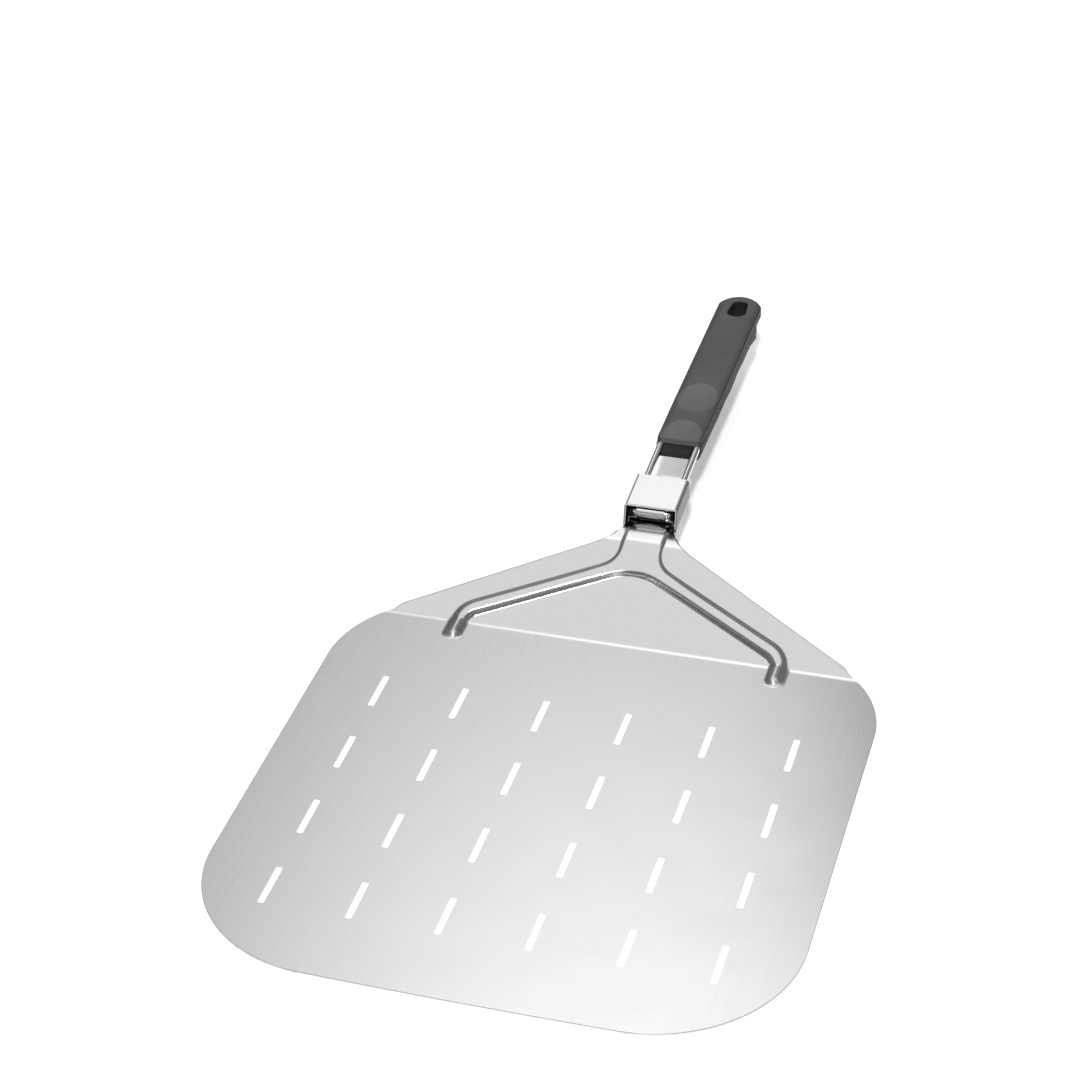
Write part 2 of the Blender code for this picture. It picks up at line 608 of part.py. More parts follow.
def make_upper_shell(material, parent):
    """Upper half of the grip: crowned, with thumb rests and a hanging hole, hollow below."""
    half = GRIP_HALF_WIDTH
    centre_y = OVERALL_LENGTH - GRIP_END_RADIUS
    sweep = math.asin(half / GRIP_END_RADIUS)
    cut_from = UPPER_FRONT_Y - FRONT_TRIM
    outer = [(-half, cut_from), (half, cut_from)]
    for k in range(13):
        angle = sweep - 2 * sweep * k / 12
        outer.append((GRIP_END_RADIUS * math.sin(angle), centre_y + GRIP_END_RADIUS * math.cos(angle)))
    hole = rounded_outline([(-HOLE_FRONT_HALF, HOLE_FRONT_Y), (HOLE_FRONT_HALF, HOLE_FRONT_Y),
                            (HOLE_REAR_HALF, HOLE_REAR_Y), (-HOLE_REAR_HALF, HOLE_REAR_Y)],
                           [HOLE_FRONT_CORNER] * 2 + [HOLE_REAR_CORNER] * 2)
    bottom = PARTING_Z + GAP
    shell = upright(outer, "handle_upper_shell", bottom, GRIP_HIGHEST_Z, parent)
    shell.data.materials.append(material)
    tail = rounded_outline([(-TAIL_HALF_WIDTH, TAIL_FRONT_Y), (TAIL_HALF_WIDTH, TAIL_FRONT_Y),
                            (TAIL_HALF_WIDTH, TAIL_REAR_Y), (-TAIL_HALF_WIDTH, TAIL_REAR_Y)],
                           [TAIL_FRONT_CORNER] * 2 + [TAIL_REAR_CORNER] * 2)
    tail = upright(tail, "tail", TAIL_BOTTOM_Z, PARTING_Z + TAIL_OVERLAP, parent)
    boolean(shell, hidden(tail), "UNION")
    hole = upright(hole, "hanging_hole", TAIL_BOTTOM_Z - GAP, GRIP_HIGHEST_Z + GAP, parent)
    boolean(shell, hidden(hole), "DIFFERENCE")
    top = new_empty("grip_top", (0, *from_hinge(UPPER_TOP_FRONT_Y, GRIP_TOP_Z)), parent, GRIP_RISE)
    crown = bmesh.new()
    made = bmesh.ops.create_cone(crown, cap_ends=True, segments=200, radius1=CROWN_RADIUS,
                                 radius2=CROWN_RADIUS, depth=OVERALL_LENGTH)["verts"]
    bmesh.ops.rotate(crown, cent=(0, 0, 0), matrix=Matrix.Rotation(math.radians(90), 3, "X"), verts=made)
    bmesh.ops.translate(crown, vec=(0, 0, -CROWN_RADIUS), verts=made)
    boolean(shell, cutter(crown, "crown_limit", top), "INTERSECT")
    wedge = bmesh.new()
    bmesh.ops.create_cube(wedge, size=1.0)
    lean = (UPPER_TOP_FRONT_Y - UPPER_FRONT_Y) / (GRIP_TOP_Z - PARTING_Z)
    for vert in wedge.verts:
        z = BELOW_GRIP_Z if vert.co.z < 0 else GRIP_HIGHEST_Z
        y = HINGE_Y if vert.co.y < 0 else UPPER_FRONT_Y + lean * (z - PARTING_Z)
        vert.co = (math.copysign(2 * GRIP_HALF_WIDTH, vert.co.x), *from_hinge(y, z))
    boolean(shell, cutter(wedge, "front_face_cut", parent), "DIFFERENCE")
    for i, y in enumerate(DIMPLE_YS):
        boolean(shell, dimple_cutter(f"dimple_cut_{i}", y - UPPER_TOP_FRONT_Y, top), "DIFFERENCE")
    room = bmesh.new()
    add_room(room, CAVITY_HALF_WIDTH, (CAVITY_FRONT_Y, BELOW_GRIP_Z), (UPPER_CAVITY_REAR_Y, CAVITY_ROOF_Z))
    boolean(shell, cutter(room, "upper_cavity", parent), "DIFFERENCE")
    cut_rod_ways(shell, "upper_rod_way", parent)
    bosses, bores = bmesh.new(), bmesh.new()
    for y in SCREW_YS:
        y, low = from_hinge(y, BOSS_BOTTOM_Z)
        add_cylinder(bosses, BOSS_RADIUS, (0, y, low), (0, y, CAVITY_ROOF_Z + GAP - HINGE_Z))
        add_cylinder(bores, SCREW_RADIUS + GAP, (0, y, low - GAP),
                     (0, y, screw_head_z() + SCREW_HEAD_HEIGHT + SCREW_LENGTH), 16)
    boolean(shell, cutter(bosses, "screw_bosses", parent), "UNION")
    boolean(shell, cutter(bores, "screw_bores", parent), "DIFFERENCE")
    smooth(shell, 25)
    return shell


def dimple_cutter(name, y, parent):
    """An oval dish whose lower face scoops a thumb rest out of the crowned top."""
    steps, lid = 8, 4 * DIMPLE_DEPTH
    bm = bmesh.new()
    rings = [(0.0, lid), (DIMPLE_OVER, lid)]
    for k in range(steps, -1, -1):
        part = DIMPLE_OVER * k / steps
        rings.append((part, -DIMPLE_DEPTH * (1 - part ** 2)))
    verts = [bm.verts.new((part, 0, z)) for part, z in rings]
    edges = [bm.edges.new(pair) for pair in zip(verts, verts[1:])]
    bmesh.ops.spin(bm, geom=verts + edges, cent=(0, 0, 0), axis=(0, 0, 1), angle=2 * math.pi,
                   steps=32, use_merge=True)
    bmesh.ops.remove_doubles(bm, verts=bm.verts, dist=0.001)
    for vert in bm.verts:
        x = vert.co.x * DIMPLE_HALF_WIDTH
        crown = math.sqrt(CROWN_RADIUS ** 2 - x * x) - CROWN_RADIUS
        vert.co = (x, y + vert.co.y * DIMPLE_HALF_LENGTH, vert.co.z + crown)
    return cutter(bm, name, parent)


def make_lower_shell(material, parent):
    """Lower half of the grip: a tray with a blunt nose and a waved belly."""
    above = PARTING_Z + 2 * BELLY_EDGE
    outline = [from_hinge(y, z) for y, z in BELLY]
    outline += [from_hinge(BELLY[-1][0], above), from_hinge(LOWER_END_Y, above)]
    width = GRIP_HALF_WIDTH - LOWER_INSET
    shell = place(curve_from([outline], "handle_lower_shell", width), "handle_lower_shell", None, parent)
    shell.rotation_euler = (math.radians(90), 0, math.radians(90))
    shell = meshed(shell)
    shell.data.materials.append(material)
    bevel(shell, BELLY_EDGE, segments=2, angle=70)
    trim = bmesh.new()
    add_room(trim, 2 * GRIP_HALF_WIDTH, (HINGE_Y, PARTING_Z), (OVERALL_LENGTH, above + BELLY_EDGE))
    boolean(shell, cutter(trim, "parting_cut", parent), "DIFFERENCE")
    rooms = bmesh.new()
    add_room(rooms, CAVITY_HALF_WIDTH, (CAVITY_FRONT_Y, ROD_ROOM_FLOOR_Z),
             (ROD_ROOM_REAR_Y, ABOVE_PARTING_Z))
    boolean(shell, cutter(rooms, "rod_room", parent), "DIFFERENCE")
    rooms = bmesh.new()
    add_room(rooms, CAVITY_HALF_WIDTH, (REAR_ROOM_FRONT_Y, REAR_ROOM_FLOOR_Z),
             (REAR_ROOM_END_Y, ABOVE_PARTING_Z))
    boolean(shell, cutter(rooms, "rear_room", parent), "DIFFERENCE")
    cut_rod_ways(shell, "lower_rod_way", parent)
    posts, pockets = bmesh.new(), bmesh.new()
    ways, counterbores = bmesh.new(), bmesh.new()
    for y in SCREW_YS:
        y, boss = from_hinge(y, BOSS_BOTTOM_Z - GAP)
        if y < ROD_ROOM_REAR_Y - HINGE_Y:
            add_cylinder(posts, BOSS_RADIUS, (0, y, ROD_ROOM_FLOOR_Z - GAP - HINGE_Z), (0, y, boss))
        else:
            add_cylinder(pockets, BOSS_RADIUS + GAP, (0, y, boss), (0, y, ABOVE_PARTING_Z - HINGE_Z))
        head = screw_head_z() + SCREW_HEAD_HEIGHT
        below = BELOW_GRIP_Z - HINGE_Z
        add_cylinder(ways, SCREW_RADIUS + GAP, (0, y, below), (0, y, boss + GAP), 16)
        add_cylinder(counterbores, SCREW_HEAD_RADIUS + GAP, (0, y, below), (0, y, head), 20)
    boolean(shell, cutter(posts, "screw_posts", parent), "UNION")
    boolean(shell, cutter(pockets, "boss_pockets", parent), "DIFFERENCE")
    boolean(shell, cutter(ways, "screw_ways", parent), "DIFFERENCE")
    boolean(shell, cutter(counterbores, "counterbores", parent), "DIFFERENCE")
    smooth(shell, 35)
    return shell


def screw_head_z():
    """Underside of the screw heads, from the hinge axis."""
    return SCREW_HEAD_Z - HINGE_Z


def make_screw(name, y, material, parent):
    """A self-tapping screw that holds the two shells together, from below."""
    bm = bmesh.new()
    foot = screw_head_z()
    neck = foot + SCREW_HEAD_HEIGHT - GAP
    tip = neck + SCREW_LENGTH
    profile = [(0, tip), (SCREW_RADIUS * 0.4, tip), (SCREW_RADIUS, tip - 0.0012), (SCREW_RADIUS, neck),
               (SCREW_HEAD_RADIUS, neck), (SCREW_HEAD_RADIUS, foot + 0.0004),
               (SCREW_HEAD_RADIUS * 0.7, foot), (0, foot)]
    y -= HINGE_Y
    verts = [bm.verts.new((x, y, z)) for x, z in profile]
    edges = [bm.edges.new(pair) for pair in zip(verts, verts[1:])]
    bmesh.ops.spin(bm, geom=verts + edges, cent=(0, y, 0), axis=(0, 0, 1), angle=2 * math.pi,
                   steps=20, use_merge=True)
    bmesh.ops.remove_doubles(bm, verts=bm.verts, dist=0.00001)
    screw = place(mesh_of(bm, name), name, material, parent)
    smooth(screw)
    return screw


# ---------------------------------------------------------------- assembly

clear_scene()
PEEL = new_collection("folding_pizza_peel")
CUTTERS = new_collection("cutters")

brushed = new_material("brushed_steel", (0.62, 0.62, 0.61), 0.32, 1.0)
satin = new_material("satin_steel", (0.78, 0.78, 0.77), 0.28, 1.0)
rod = new_material("bright_steel", (0.70, 0.70, 0.70), 0.18, 1.0)
spring_steel = new_material("spring_steel", (0.45, 0.45, 0.46), 0.35, 1.0)
grey_plastic = new_material("grey_plastic", (0.085, 0.088, 0.088), 0.55, 0.0)
dark_plastic = new_material("dark_plastic", (0.045, 0.043, 0.045), 0.55, 0.0)
zinc = new_material("zinc_steel", (0.55, 0.55, 0.56), 0.4, 1.0)

blade_origin = new_empty("blade_front_edge", (0, FRONT_Y, 0))
fold_axis = new_empty("handle_fold_axis", (0, FRONT_Y + HINGE_Y, HINGE_Z))
hinge_seat = new_empty("hinge_seat", (0, FRONT_Y + HINGE_Y, HINGE_Z), tilt=NECK_ANGLE)
slide_axis = new_empty("sleeve_slide_axis", (0, 0, 0), parent=fold_axis, tilt=NECK_ANGLE)

make_blade(brushed, blade_origin)
make_bracket(satin, hinge_seat)
make_wire(rod, fold_axis)
make_sleeve(satin, slide_axis)
make_spring(spring_steel, slide_axis)
make_upper_shell(grey_plastic, fold_axis)
make_lower_shell(dark_plastic, fold_axis)
for screw_name, screw_y in zip(("handle_screw_front", "handle_screw_rear"), SCREW_YS):
    make_screw(screw_name, screw_y, zinc, fold_axis)
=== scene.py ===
import json
import math

import bmesh
import bpy
import numpy as np
from mathutils import Matrix, Vector


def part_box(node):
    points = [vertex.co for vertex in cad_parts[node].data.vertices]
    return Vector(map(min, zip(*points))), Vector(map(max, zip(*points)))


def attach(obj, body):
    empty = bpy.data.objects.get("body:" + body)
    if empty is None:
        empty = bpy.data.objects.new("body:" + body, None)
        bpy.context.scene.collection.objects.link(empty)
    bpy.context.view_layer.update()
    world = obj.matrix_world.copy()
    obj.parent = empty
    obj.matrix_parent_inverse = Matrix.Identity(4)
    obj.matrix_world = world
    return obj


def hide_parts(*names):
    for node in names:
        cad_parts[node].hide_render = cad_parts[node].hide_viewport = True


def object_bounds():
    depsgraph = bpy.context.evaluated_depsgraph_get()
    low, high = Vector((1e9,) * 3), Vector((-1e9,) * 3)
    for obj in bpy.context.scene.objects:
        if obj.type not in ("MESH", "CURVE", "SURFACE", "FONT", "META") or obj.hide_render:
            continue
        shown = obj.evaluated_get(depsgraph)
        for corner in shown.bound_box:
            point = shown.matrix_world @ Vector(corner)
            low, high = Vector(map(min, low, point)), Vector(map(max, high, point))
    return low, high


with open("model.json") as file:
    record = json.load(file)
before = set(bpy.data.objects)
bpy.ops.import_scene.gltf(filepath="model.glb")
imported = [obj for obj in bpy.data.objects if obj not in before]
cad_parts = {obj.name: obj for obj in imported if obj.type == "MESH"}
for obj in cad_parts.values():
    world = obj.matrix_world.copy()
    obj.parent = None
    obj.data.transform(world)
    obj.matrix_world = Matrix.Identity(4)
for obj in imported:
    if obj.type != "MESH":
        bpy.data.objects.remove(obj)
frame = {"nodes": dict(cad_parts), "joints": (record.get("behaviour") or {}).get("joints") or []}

CAD_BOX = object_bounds()

# Metres, in the frame of the CAD. Lengthwise places on the blade and the grip are counted from the
# blade's front edge.
MM = 0.001
FRONT_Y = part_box("blade")[0].y
HINGE = Vector(next(j for j in frame["joints"] if j["name"] == "handle_fold")["pos_m"])
SLIDE = Vector(next(j for j in frame["joints"] if j["name"] == "sleeve_slide")["axis"])
LEG_TILT = math.atan2(SLIDE.z, SLIDE.y)

# Blade: outline, profile, wishbone and slots
SHEET = 1.0 * MM
HALF_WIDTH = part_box("blade")[1].x
FRONT_CORNER_RADIUS = 79.5 * MM
FRONT_BOW = 0.7 * MM
REAR_CORNER_RADIUS = 70 * MM
REAR_CORNER_ALONG = 258 * MM
REAR_ARC_END = 305 * MM
SHOULDER = (131.0 * MM, 314.2 * MM)
DIAGONAL_SLOPE = 1.9966
NECK_HALF_WIDTH = 14.3 * MM
NECK_FILLET = 31 * MM
NECK_TUCK, NECK_TUCK_RANGE = 1.0 * MM, (378 * MM, 384.5 * MM)
NECK_END = 388.5 * MM
LIP_DROP, LIP_RADIUS = 2.8 * MM, 1.2 * MM
LIP_START, LIP_END = (309 * MM, 322 * MM), (366 * MM, 378 * MM)
CREASE, CREASE_RADIUS, RAMP_ANGLE = 307.5 * MM, 12 * MM, math.radians(27)
NECK_BEND, NECK_BEND_RADIUS, NECK_ANGLE = 367.5 * MM, 14 * MM, math.radians(5)
BEAD_HEIGHT, BEAD_END_HEIGHT, BEAD_FADE = 3.2 * MM, 1.6 * MM, (338 * MM, 366 * MM)
BEAD_OUTER_WALL, BEAD_INNER_WALL, BEAD_END_WALL = 4.6 * MM, 2.7 * MM, 1.9 * MM
BEAD_SIDES = 2.0 * MM
ARM_HALF_WIDTH, FOOT_X, FOOT_END, FOOT_BEND_RADIUS = 5.2 * MM, 96 * MM, 294.5 * MM, 12 * MM
ARM_POINT, ARM_SLOPE, ARM_APEX_RADIUS = (60 * MM, 329.8 * MM), 0.45, 35 * MM
STEM_HALF_WIDTH, STEM_FILLET = 12.8 * MM, 9 * MM
SLOT_WIDTH, SLOT_LENGTH, SLOT_CORNER = 3.7 * MM, 28.5 * MM, 0.9 * MM
SLOT_PITCH = (47.8 * MM, 57.3 * MM)
SLOT_FIRST_ROW = 59 * MM
SLOT_COLUMNS, SLOT_ROWS = 6, 4
RIM_EDGE = 0.22 * MM
BLADE_COLUMNS, LIP_STEPS = 220, 4
SIDE_ROWS, FINE_ROWS, FINE_ROWS_START = 8, 104, 285 * MM
CORNER_STEP_DEGREES, REAR_CORNER_DEGREES = 3, 21

# Hinge, wire and sleeve, in the legs' frame
WIRE_RADIUS = 2.25 * MM
LEG_X, LEG_BEND_RADIUS, LEG_LENGTH = 11.4 * MM, 3.3 * MM, 66 * MM
LEG_POINTS, LEG_BEND_ROOM = (20 * MM, 45 * MM), 4 * MM
LEG_LEVEL_BEFORE, LEG_LEVEL_DIP, LEG_LEVEL_AFTER = 1 * MM, 0.03 * MM, 3 * MM
LEG_CLOSING_START, LEG_CLOSING_LENGTH = 12 * MM, 18 * MM
LEG_INNER_X, LEG_END, LEG_HOOK_RADIUS, LEG_TIP = 8.8 * MM, 146 * MM, 4 * MM, 2 * MM
WIRE_STEPS, HOOK_STEPS = 12, 8
BARREL_HALF, BARREL_INNER, BRACKET_SHEET = 8.6 * MM, 2.55 * MM, 1.0 * MM
BRACKET_HALF_WIDTH, BRACKET_DEPTH, BRACKET_CORNER = 14.2 * MM, 6.0 * MM, 1.9 * MM
BRACKET_FRONT, BRACKET_REAR, BRACKET_FLANGE_REAR = -2.5 * MM, 6.5 * MM, 0.5 * MM
BRACKET_GAP, BRACKET_EDGE, BRACKET_SWEEP = 0.3 * MM, 0.15 * MM, 1.6
TONGUE_RUN, TONGUE_TURN = 1.5 * MM, math.radians(300)
SLEEVE_TOP_FRONT, SLEEVE_BOTTOM_FRONT, SLEEVE_HALF_WIDTH = -1.2 * MM, -6.3 * MM, 16.2 * MM
SLEEVE_TOP_REAR, SLEEVE_BOTTOM_REAR = 28.5 * MM, 27.4 * MM
SLEEVE_BOTTOM, SLEEVE_TOP, SLEEVE_WALL, SLEEVE_CORNER = -8.8 * MM, 5.8 * MM, 1.2 * MM, 2.0 * MM
SLEEVE_EDGE = 0.22 * MM
SPRING_STRIP, SPRING_HALF_WIDTH, SPRING_GAP = 0.5 * MM, 3.0 * MM, 0.3 * MM
SPRING_CENTRE = 16.15 * MM

# Grip. Its top rises towards the rear; its parting plane is level.
GRIP_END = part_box("handle_upper_shell")[1].y - FRONT_Y
GRIP_TOP, GRIP_RISE = 51.0 * MM, math.radians(1.3)
GRIP_FRONT_HALF, GRIP_HALF = 13.9 * MM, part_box("handle_upper_shell")[1].x
GRIP_TAPER_END = 500 * MM
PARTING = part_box("handle_lower_shell")[1].z
PARTING_GAP = 0.3 * MM
UPPER_FRONT, UPPER_TOP_FRONT = 456.0 * MM, 458.5 * MM
CROWN_RADIUS = 100 * MM
GRIP_END_RADIUS = 15.5 * MM
GRIP_EDGE = 0.9 * MM
DIMPLES, DIMPLE_DEPTH = (461.5 * MM, 505.4 * MM), 1.4 * MM
DIMPLE_HALF_WIDTH, DIMPLE_HALF_LENGTH = 12.5 * MM, 17.0 * MM
HOLE_FRONT, HOLE_REAR = 608.0 * MM, 628.5 * MM
HOLE_FRONT_HALF, HOLE_REAR_HALF = 6.7 * MM, 4.5 * MM
HOLE_FRONT_CORNER, HOLE_REAR_CORNER = 5.6 * MM, 4.2 * MM
TAIL_FRONT, TAIL_REAR = 613.8 * MM, 631.2 * MM
TAIL_HALF, TAIL_BOTTOM = 10.2 * MM, 41.5 * MM
TAIL_FRONT_CORNER, TAIL_REAR_CORNER = 1.0 * MM, 8.5 * MM
TAIL_OVERLAP, TAIL_EDGE = 2.0 * MM, 0.4 * MM
HOLE_RIM = 0.8 * MM
# the hole's punch: heights over the rim and how far it flares there, both in rims
HOLE_LEVELS = ((-20, 0.0), (-2, 0.0), (-0.6, 0.25), (0, 1.0), (2, 3.2))
UPPER_COLUMNS, UPPER_ROWS, UPPER_MARGIN = 40, 190, 1.3 * MM
FRONT_EDGE_MARGIN = 0.1 * MM

# Lower shell: its nose lies between the rods, and its belly is waved
ROD_GAP, ROD_WAY = 0.3 * MM, (30 * MM, LEG_LENGTH + 4 * MM)
NOSE_FRONT, NOSE_BOTTOM = 447.0 * MM, 44.2 * MM
NOSE_SIDES_START, NOSE_SIDES_END = 440 * MM, 455.5 * MM
NOSE_SIDES_BOTTOM, NOSE_SIDES_TALL = 43.5 * MM, 10 * MM
LOWER_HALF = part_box("handle_lower_shell")[1].x
LOWER_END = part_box("handle_lower_shell")[1].y - FRONT_Y
LOWER_END_BOTTOM = 41.0 * MM
BELLY_EDGE, BELLY_POINTS, BELLY_REACH = 1.6 * MM, 80, 4.0 * MM
BELLY_SMOOTH_START, BELLY_SMOOTH_END = (452 * MM, 462 * MM), (595 * MM, 603 * MM)
PARTING_CUT, PARTING_CUT_MIDDLE = (60 * MM, 400 * MM, 20 * MM), 540 * MM
# the belly from the rear end to the nose: places and heights in millimetres
BELLY = ((611.5, 38.3), (606.0, 37.6), (599.5, 39.5), (590.0, 41.3), (582.0, 40.8), (574.0, 40.4),
         (565.0, 40.9), (556.0, 41.0), (547.0, 40.2), (538.0, 39.6), (529.0, 40.1), (520.0, 40.5),
         (511.0, 40.2), (502.0, 39.8), (493.0, 40.0), (484.0, 40.1), (475.0, 40.0), (460.0, 40.0),
         (454.0, 40.2), (450.0, 41.1), (447.7, 42.6))

# Shading: where a colour changes, and the share that is added or kept there; most of these marks are painted
# light and shade
NOISE_LOW, NOISE_HIGH = 0.3, 0.7
# painted highlight: the thumb rests are made paler
REST_PAINTED_HIGHLIGHT, REST_EDGE = 0.34, 0.96
# painted shade: the top is darker towards the crown's edges
CROWN_SHADE, CROWN_PAINTED_SHADE = (9.0 * MM, 13.4 * MM), 0.72
# painted shade on the grip's sides
SIDE_SHADE, SIDE_PAINTED_SHADE = (13.4 * MM, 13.9 * MM), 0.36
# painted shade on the grip's front face
FACE_SHADE, FACE_PAINTED_SHADE = (UPPER_FRONT + 1.6 * MM, UPPER_TOP_FRONT + 0.4 * MM), 0.5
# painted shade down in the hanging hole
HOLE_SHADE, HOLE_MARGIN, HOLE_PAINTED_SHADE = (-1.4 * MM, -0.4 * MM), 0.05 * MM, 0.85
PLASTIC_SHEEN = 0.12
ROD_GRAIN = (900, 60, 900)
# painted shade inside the sleeve
INSIDE_PAINTED_SHADE, INSIDE_MARGIN = 0.12, 0.1 * MM
# painted shade on the sleeve's flanks
FLANK_SHADE, FLANK_PAINTED_SHADE = (SLEEVE_HALF_WIDTH - 0.8 * MM, SLEEVE_HALF_WIDTH - 0.1 * MM), 0.04
# painted shade: a dark arch on the blade's neck, in the sleeve's mouth
ARCH_TOP, ARCH_RISE, ARCH_HALF_WIDTH = 384.0 * MM, 4.5 * MM, 11 * MM
ARCH_EDGE, ARCH_PAINTED_SHADE = 1.5 * MM, 0.12

# Studio and camera
FLOOR_SIZE, FLOOR_GLOW = 12.0, 0.2
BAND_SIDE = (math.cos(math.radians(15)), math.sin(math.radians(15)), 0.0)
BAND_LEFT, BAND_RIGHT, BAND_LOW = (-0.28, -0.01), (0.035, 0.125), 0.28
BAND_CLIMB = (0.5, 0.8, 0.70, 1.85)
CEILING_FADE, CEILING = (0.78, 0.93), 1.0
KEY_DIRECTION, KEY_DISTANCE = Vector((0.155, -0.685, 0.71)), 6.0
KEY_SIZE, KEY_POWER = 0.30, 280.0
SENSOR, LENS, CLIP = 36.0, 91.483, (0.05, 50.0)
CAMERA_PLACE = (0.343848, FRONT_Y - 0.932069, 0.937498)
CAMERA_BACK = Vector((0.24830123, -0.79250853, 0.5570249))
CAMERA_UP = Vector((-0.13444427, 0.54127362, 0.83002868))


# ---------------------------------------------------------------- small helpers

def smoothstep(value, low, high):
    """Smoothly from 0 to 1 as the value goes from low to high."""
    t = np.clip((value - low) / (high - low), 0.0, 1.0)
    return t * t * (3 - 2 * t)


def new_object(name, data):
    """An object in the scene with this data."""
    item = bpy.data.objects.new(name, data)
    bpy.context.scene.collection.objects.link(item)
    return item


def mesh_object(name, bm):
    """An object from a bmesh, which is used up, with its faces turned outwards."""
    bmesh.ops.recalc_face_normals(bm, faces=bm.faces)
    mesh = bpy.data.meshes.new(name)
    bm.to_mesh(mesh)
    bm.free()
    return new_object(name, mesh)


def smooth(item, angle=35):
    """Smooth shading, broken at edges sharper than the angle."""
    item.data.shade_smooth()
    item.data.set_sharp_from_angle(angle=math.radians(angle))


def even_normals(item):
    """Let the large faces rule the shading, so that flat sheet stays flat up to its edges."""
    item.modifiers.new("shading", "WEIGHTED_NORMAL").keep_sharp = True
    return applied(item)


def applied(item):
    """Put an object's modifiers into its mesh; a curve becomes a mesh object."""
    graph = bpy.context.evaluated_depsgraph_get()
    mesh = bpy.data.meshes.new_from_object(item.evaluated_get(graph))
    item.modifiers.clear()
    if item.type == "MESH":
        item.data = mesh
        return item
    name, matrix = item.name, item.matrix_world.copy()
    bpy.data.objects.remove(item, do_unlink=True)
    made = new_object(name, mesh)
    made.matrix_world = matrix
    return made


def cut(item, cutter, operation="DIFFERENCE"):
    """Subtract the cutter, or join it with operation UNION, and delete it."""
    step = item.modifiers.new("cut", "BOOLEAN")
    step.operation = operation
    step.solver = "EXACT"
    step.object = cutter
    applied(item)
    bpy.data.objects.remove(cutter, do_unlink=True)
    return item


def bevel(item, width, segments=3, angle=40, clamp=True):
    """Break the edges sharper than the angle; the caller then applies it."""
    step = item.modifiers.new("edges", "BEVEL")
    step.width = width
    step.segments = segments
    step.limit_method = "ANGLE"
    step.angle_limit = math.radians(angle)
    step.use_clamp_overlap = clamp


def rounded_outline(corners, radii, steps=8):
    """A closed outline through the corners, each rounded with its own radius."""
    points = []
    for i, radius in enumerate(radii):
        corner = Vector(corners[i])
        back = (Vector(corners[i - 1]) - corner).normalized()
        ahead = (Vector(corners[(i + 1) % len(corners)]) - corner).normalized()
        half = back.angle(ahead) / 2
        centre = corner + (back + ahead).normalized() * (radius / math.sin(half))
        start = corner + back * (radius / math.tan(half)) - centre
        end = corner + ahead * (radius / math.tan(half)) - centre
        turn = math.atan2(start.x * end.y - start.y * end.x, start.dot(end))
        for k in range(steps + 1):
            angle = turn * k / steps
            c, s = math.cos(angle), math.sin(angle)
            points.append((centre.x + c * start.x - s * start.y, centre.y + s * start.x + c * start.y))
    return points


def flat_curve(name, outlines, thickness):
    """A filled 2D curve of closed outlines, extruded to the thickness."""
    curve = bpy.data.curves.new(name, "CURVE")
    curve.dimensions = "2D"
    curve.fill_mode = "BOTH"
    curve.extrude = thickness / 2
    for points in outlines:
        spline = curve.splines.new("POLY")
        spline.points.add(len(points) - 1)
        for target, (x, y) in zip(spline.points, points):
            target.co = (x, y, 0, 1)
        spline.use_cyclic_u = True
    return new_object(name, curve)


def thickened(item, thickness):
    """Give a sheet its thickness, half to each side."""
    shell = item.modifiers.new("sheet", "SOLIDIFY")
    shell.thickness = thickness
    shell.offset = 0.0
    return item


def add_block(bm, size, middle):
    """Add a block of this size round its middle point."""
    verts = bmesh.ops.create_cube(bm, size=1.0)["verts"]
    bmesh.ops.scale(bm, vec=size, verts=verts)
    bmesh.ops.translate(bm, vec=middle, verts=verts)


def welded(item):
    """The mesh of a curve object, with its caps joined to its sides."""
    item = applied(item)
    bm = bmesh.new()
    bm.from_mesh(item.data)
    bmesh.ops.remove_doubles(bm, verts=bm.verts, dist=0.01 * MM)
    bmesh.ops.recalc_face_normals(bm, faces=bm.faces)
    bm.to_mesh(item.data)
    bm.free()
    return item


def finished(piece, material, body, node):
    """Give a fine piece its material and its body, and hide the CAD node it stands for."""
    piece.data.materials.clear()
    piece.data.materials.append(material)
    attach(piece, body)
    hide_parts(node)
    return piece


def leg_frame(x, along, up):
    """A point given in the legs' frame: along them and square to them, from the hinge axis."""
    c, s = math.cos(LEG_TILT), math.sin(LEG_TILT)
    return (x, HINGE.y + along * c - up * s, HINGE.z + along * s + up * c)


# ---------------------------------------------------------------- materials

def shader_material(name, colour, roughness, metallic):
    """A plain material, its node tree and its shader."""
    material = bpy.data.materials.new(name)
    material.use_nodes = True
    shader = material.node_tree.nodes["Principled BSDF"]
    shader.inputs["Base Color"].default_value = (*colour, 1.0)
    shader.inputs["Roughness"].default_value = roughness
    shader.inputs["Metallic"].default_value = metallic
    return material, material.node_tree, shader


def maths(tree, operation, first, second=None):
    """A maths node fed by sockets or numbers."""
    node = tree.nodes.new("ShaderNodeMath")
    node.operation = operation
    for index, value in enumerate((first, second)):
        if isinstance(value, bpy.types.NodeSocket):
            tree.links.new(value, node.inputs[index])
        elif value is not None:
            node.inputs[index].default_value = value
    return node.outputs["Value"]


def ramp(tree, value, low, high, start=0.0, end=1.0):
    """Smoothly from start to end as the value goes from low to high."""
    node = tree.nodes.new("ShaderNodeMapRange")
    node.interpolation_type = "SMOOTHSTEP"
    for name, number in (("From Min", low), ("From Max", high), ("To Min", start), ("To Max", end)):
        node.inputs[name].default_value = number
    tree.links.new(value, node.inputs["Value"])
    return node.outputs["Result"]


def object_axes(tree):
    """The object's own x, y and z as three sockets."""
    coords = tree.nodes.new("ShaderNodeTexCoord")
    split = tree.nodes.new("ShaderNodeSeparateXYZ")
    tree.links.new(coords.outputs["Object"], split.inputs["Vector"])
    return split.outputs["X"], split.outputs["Y"], split.outputs["Z"]


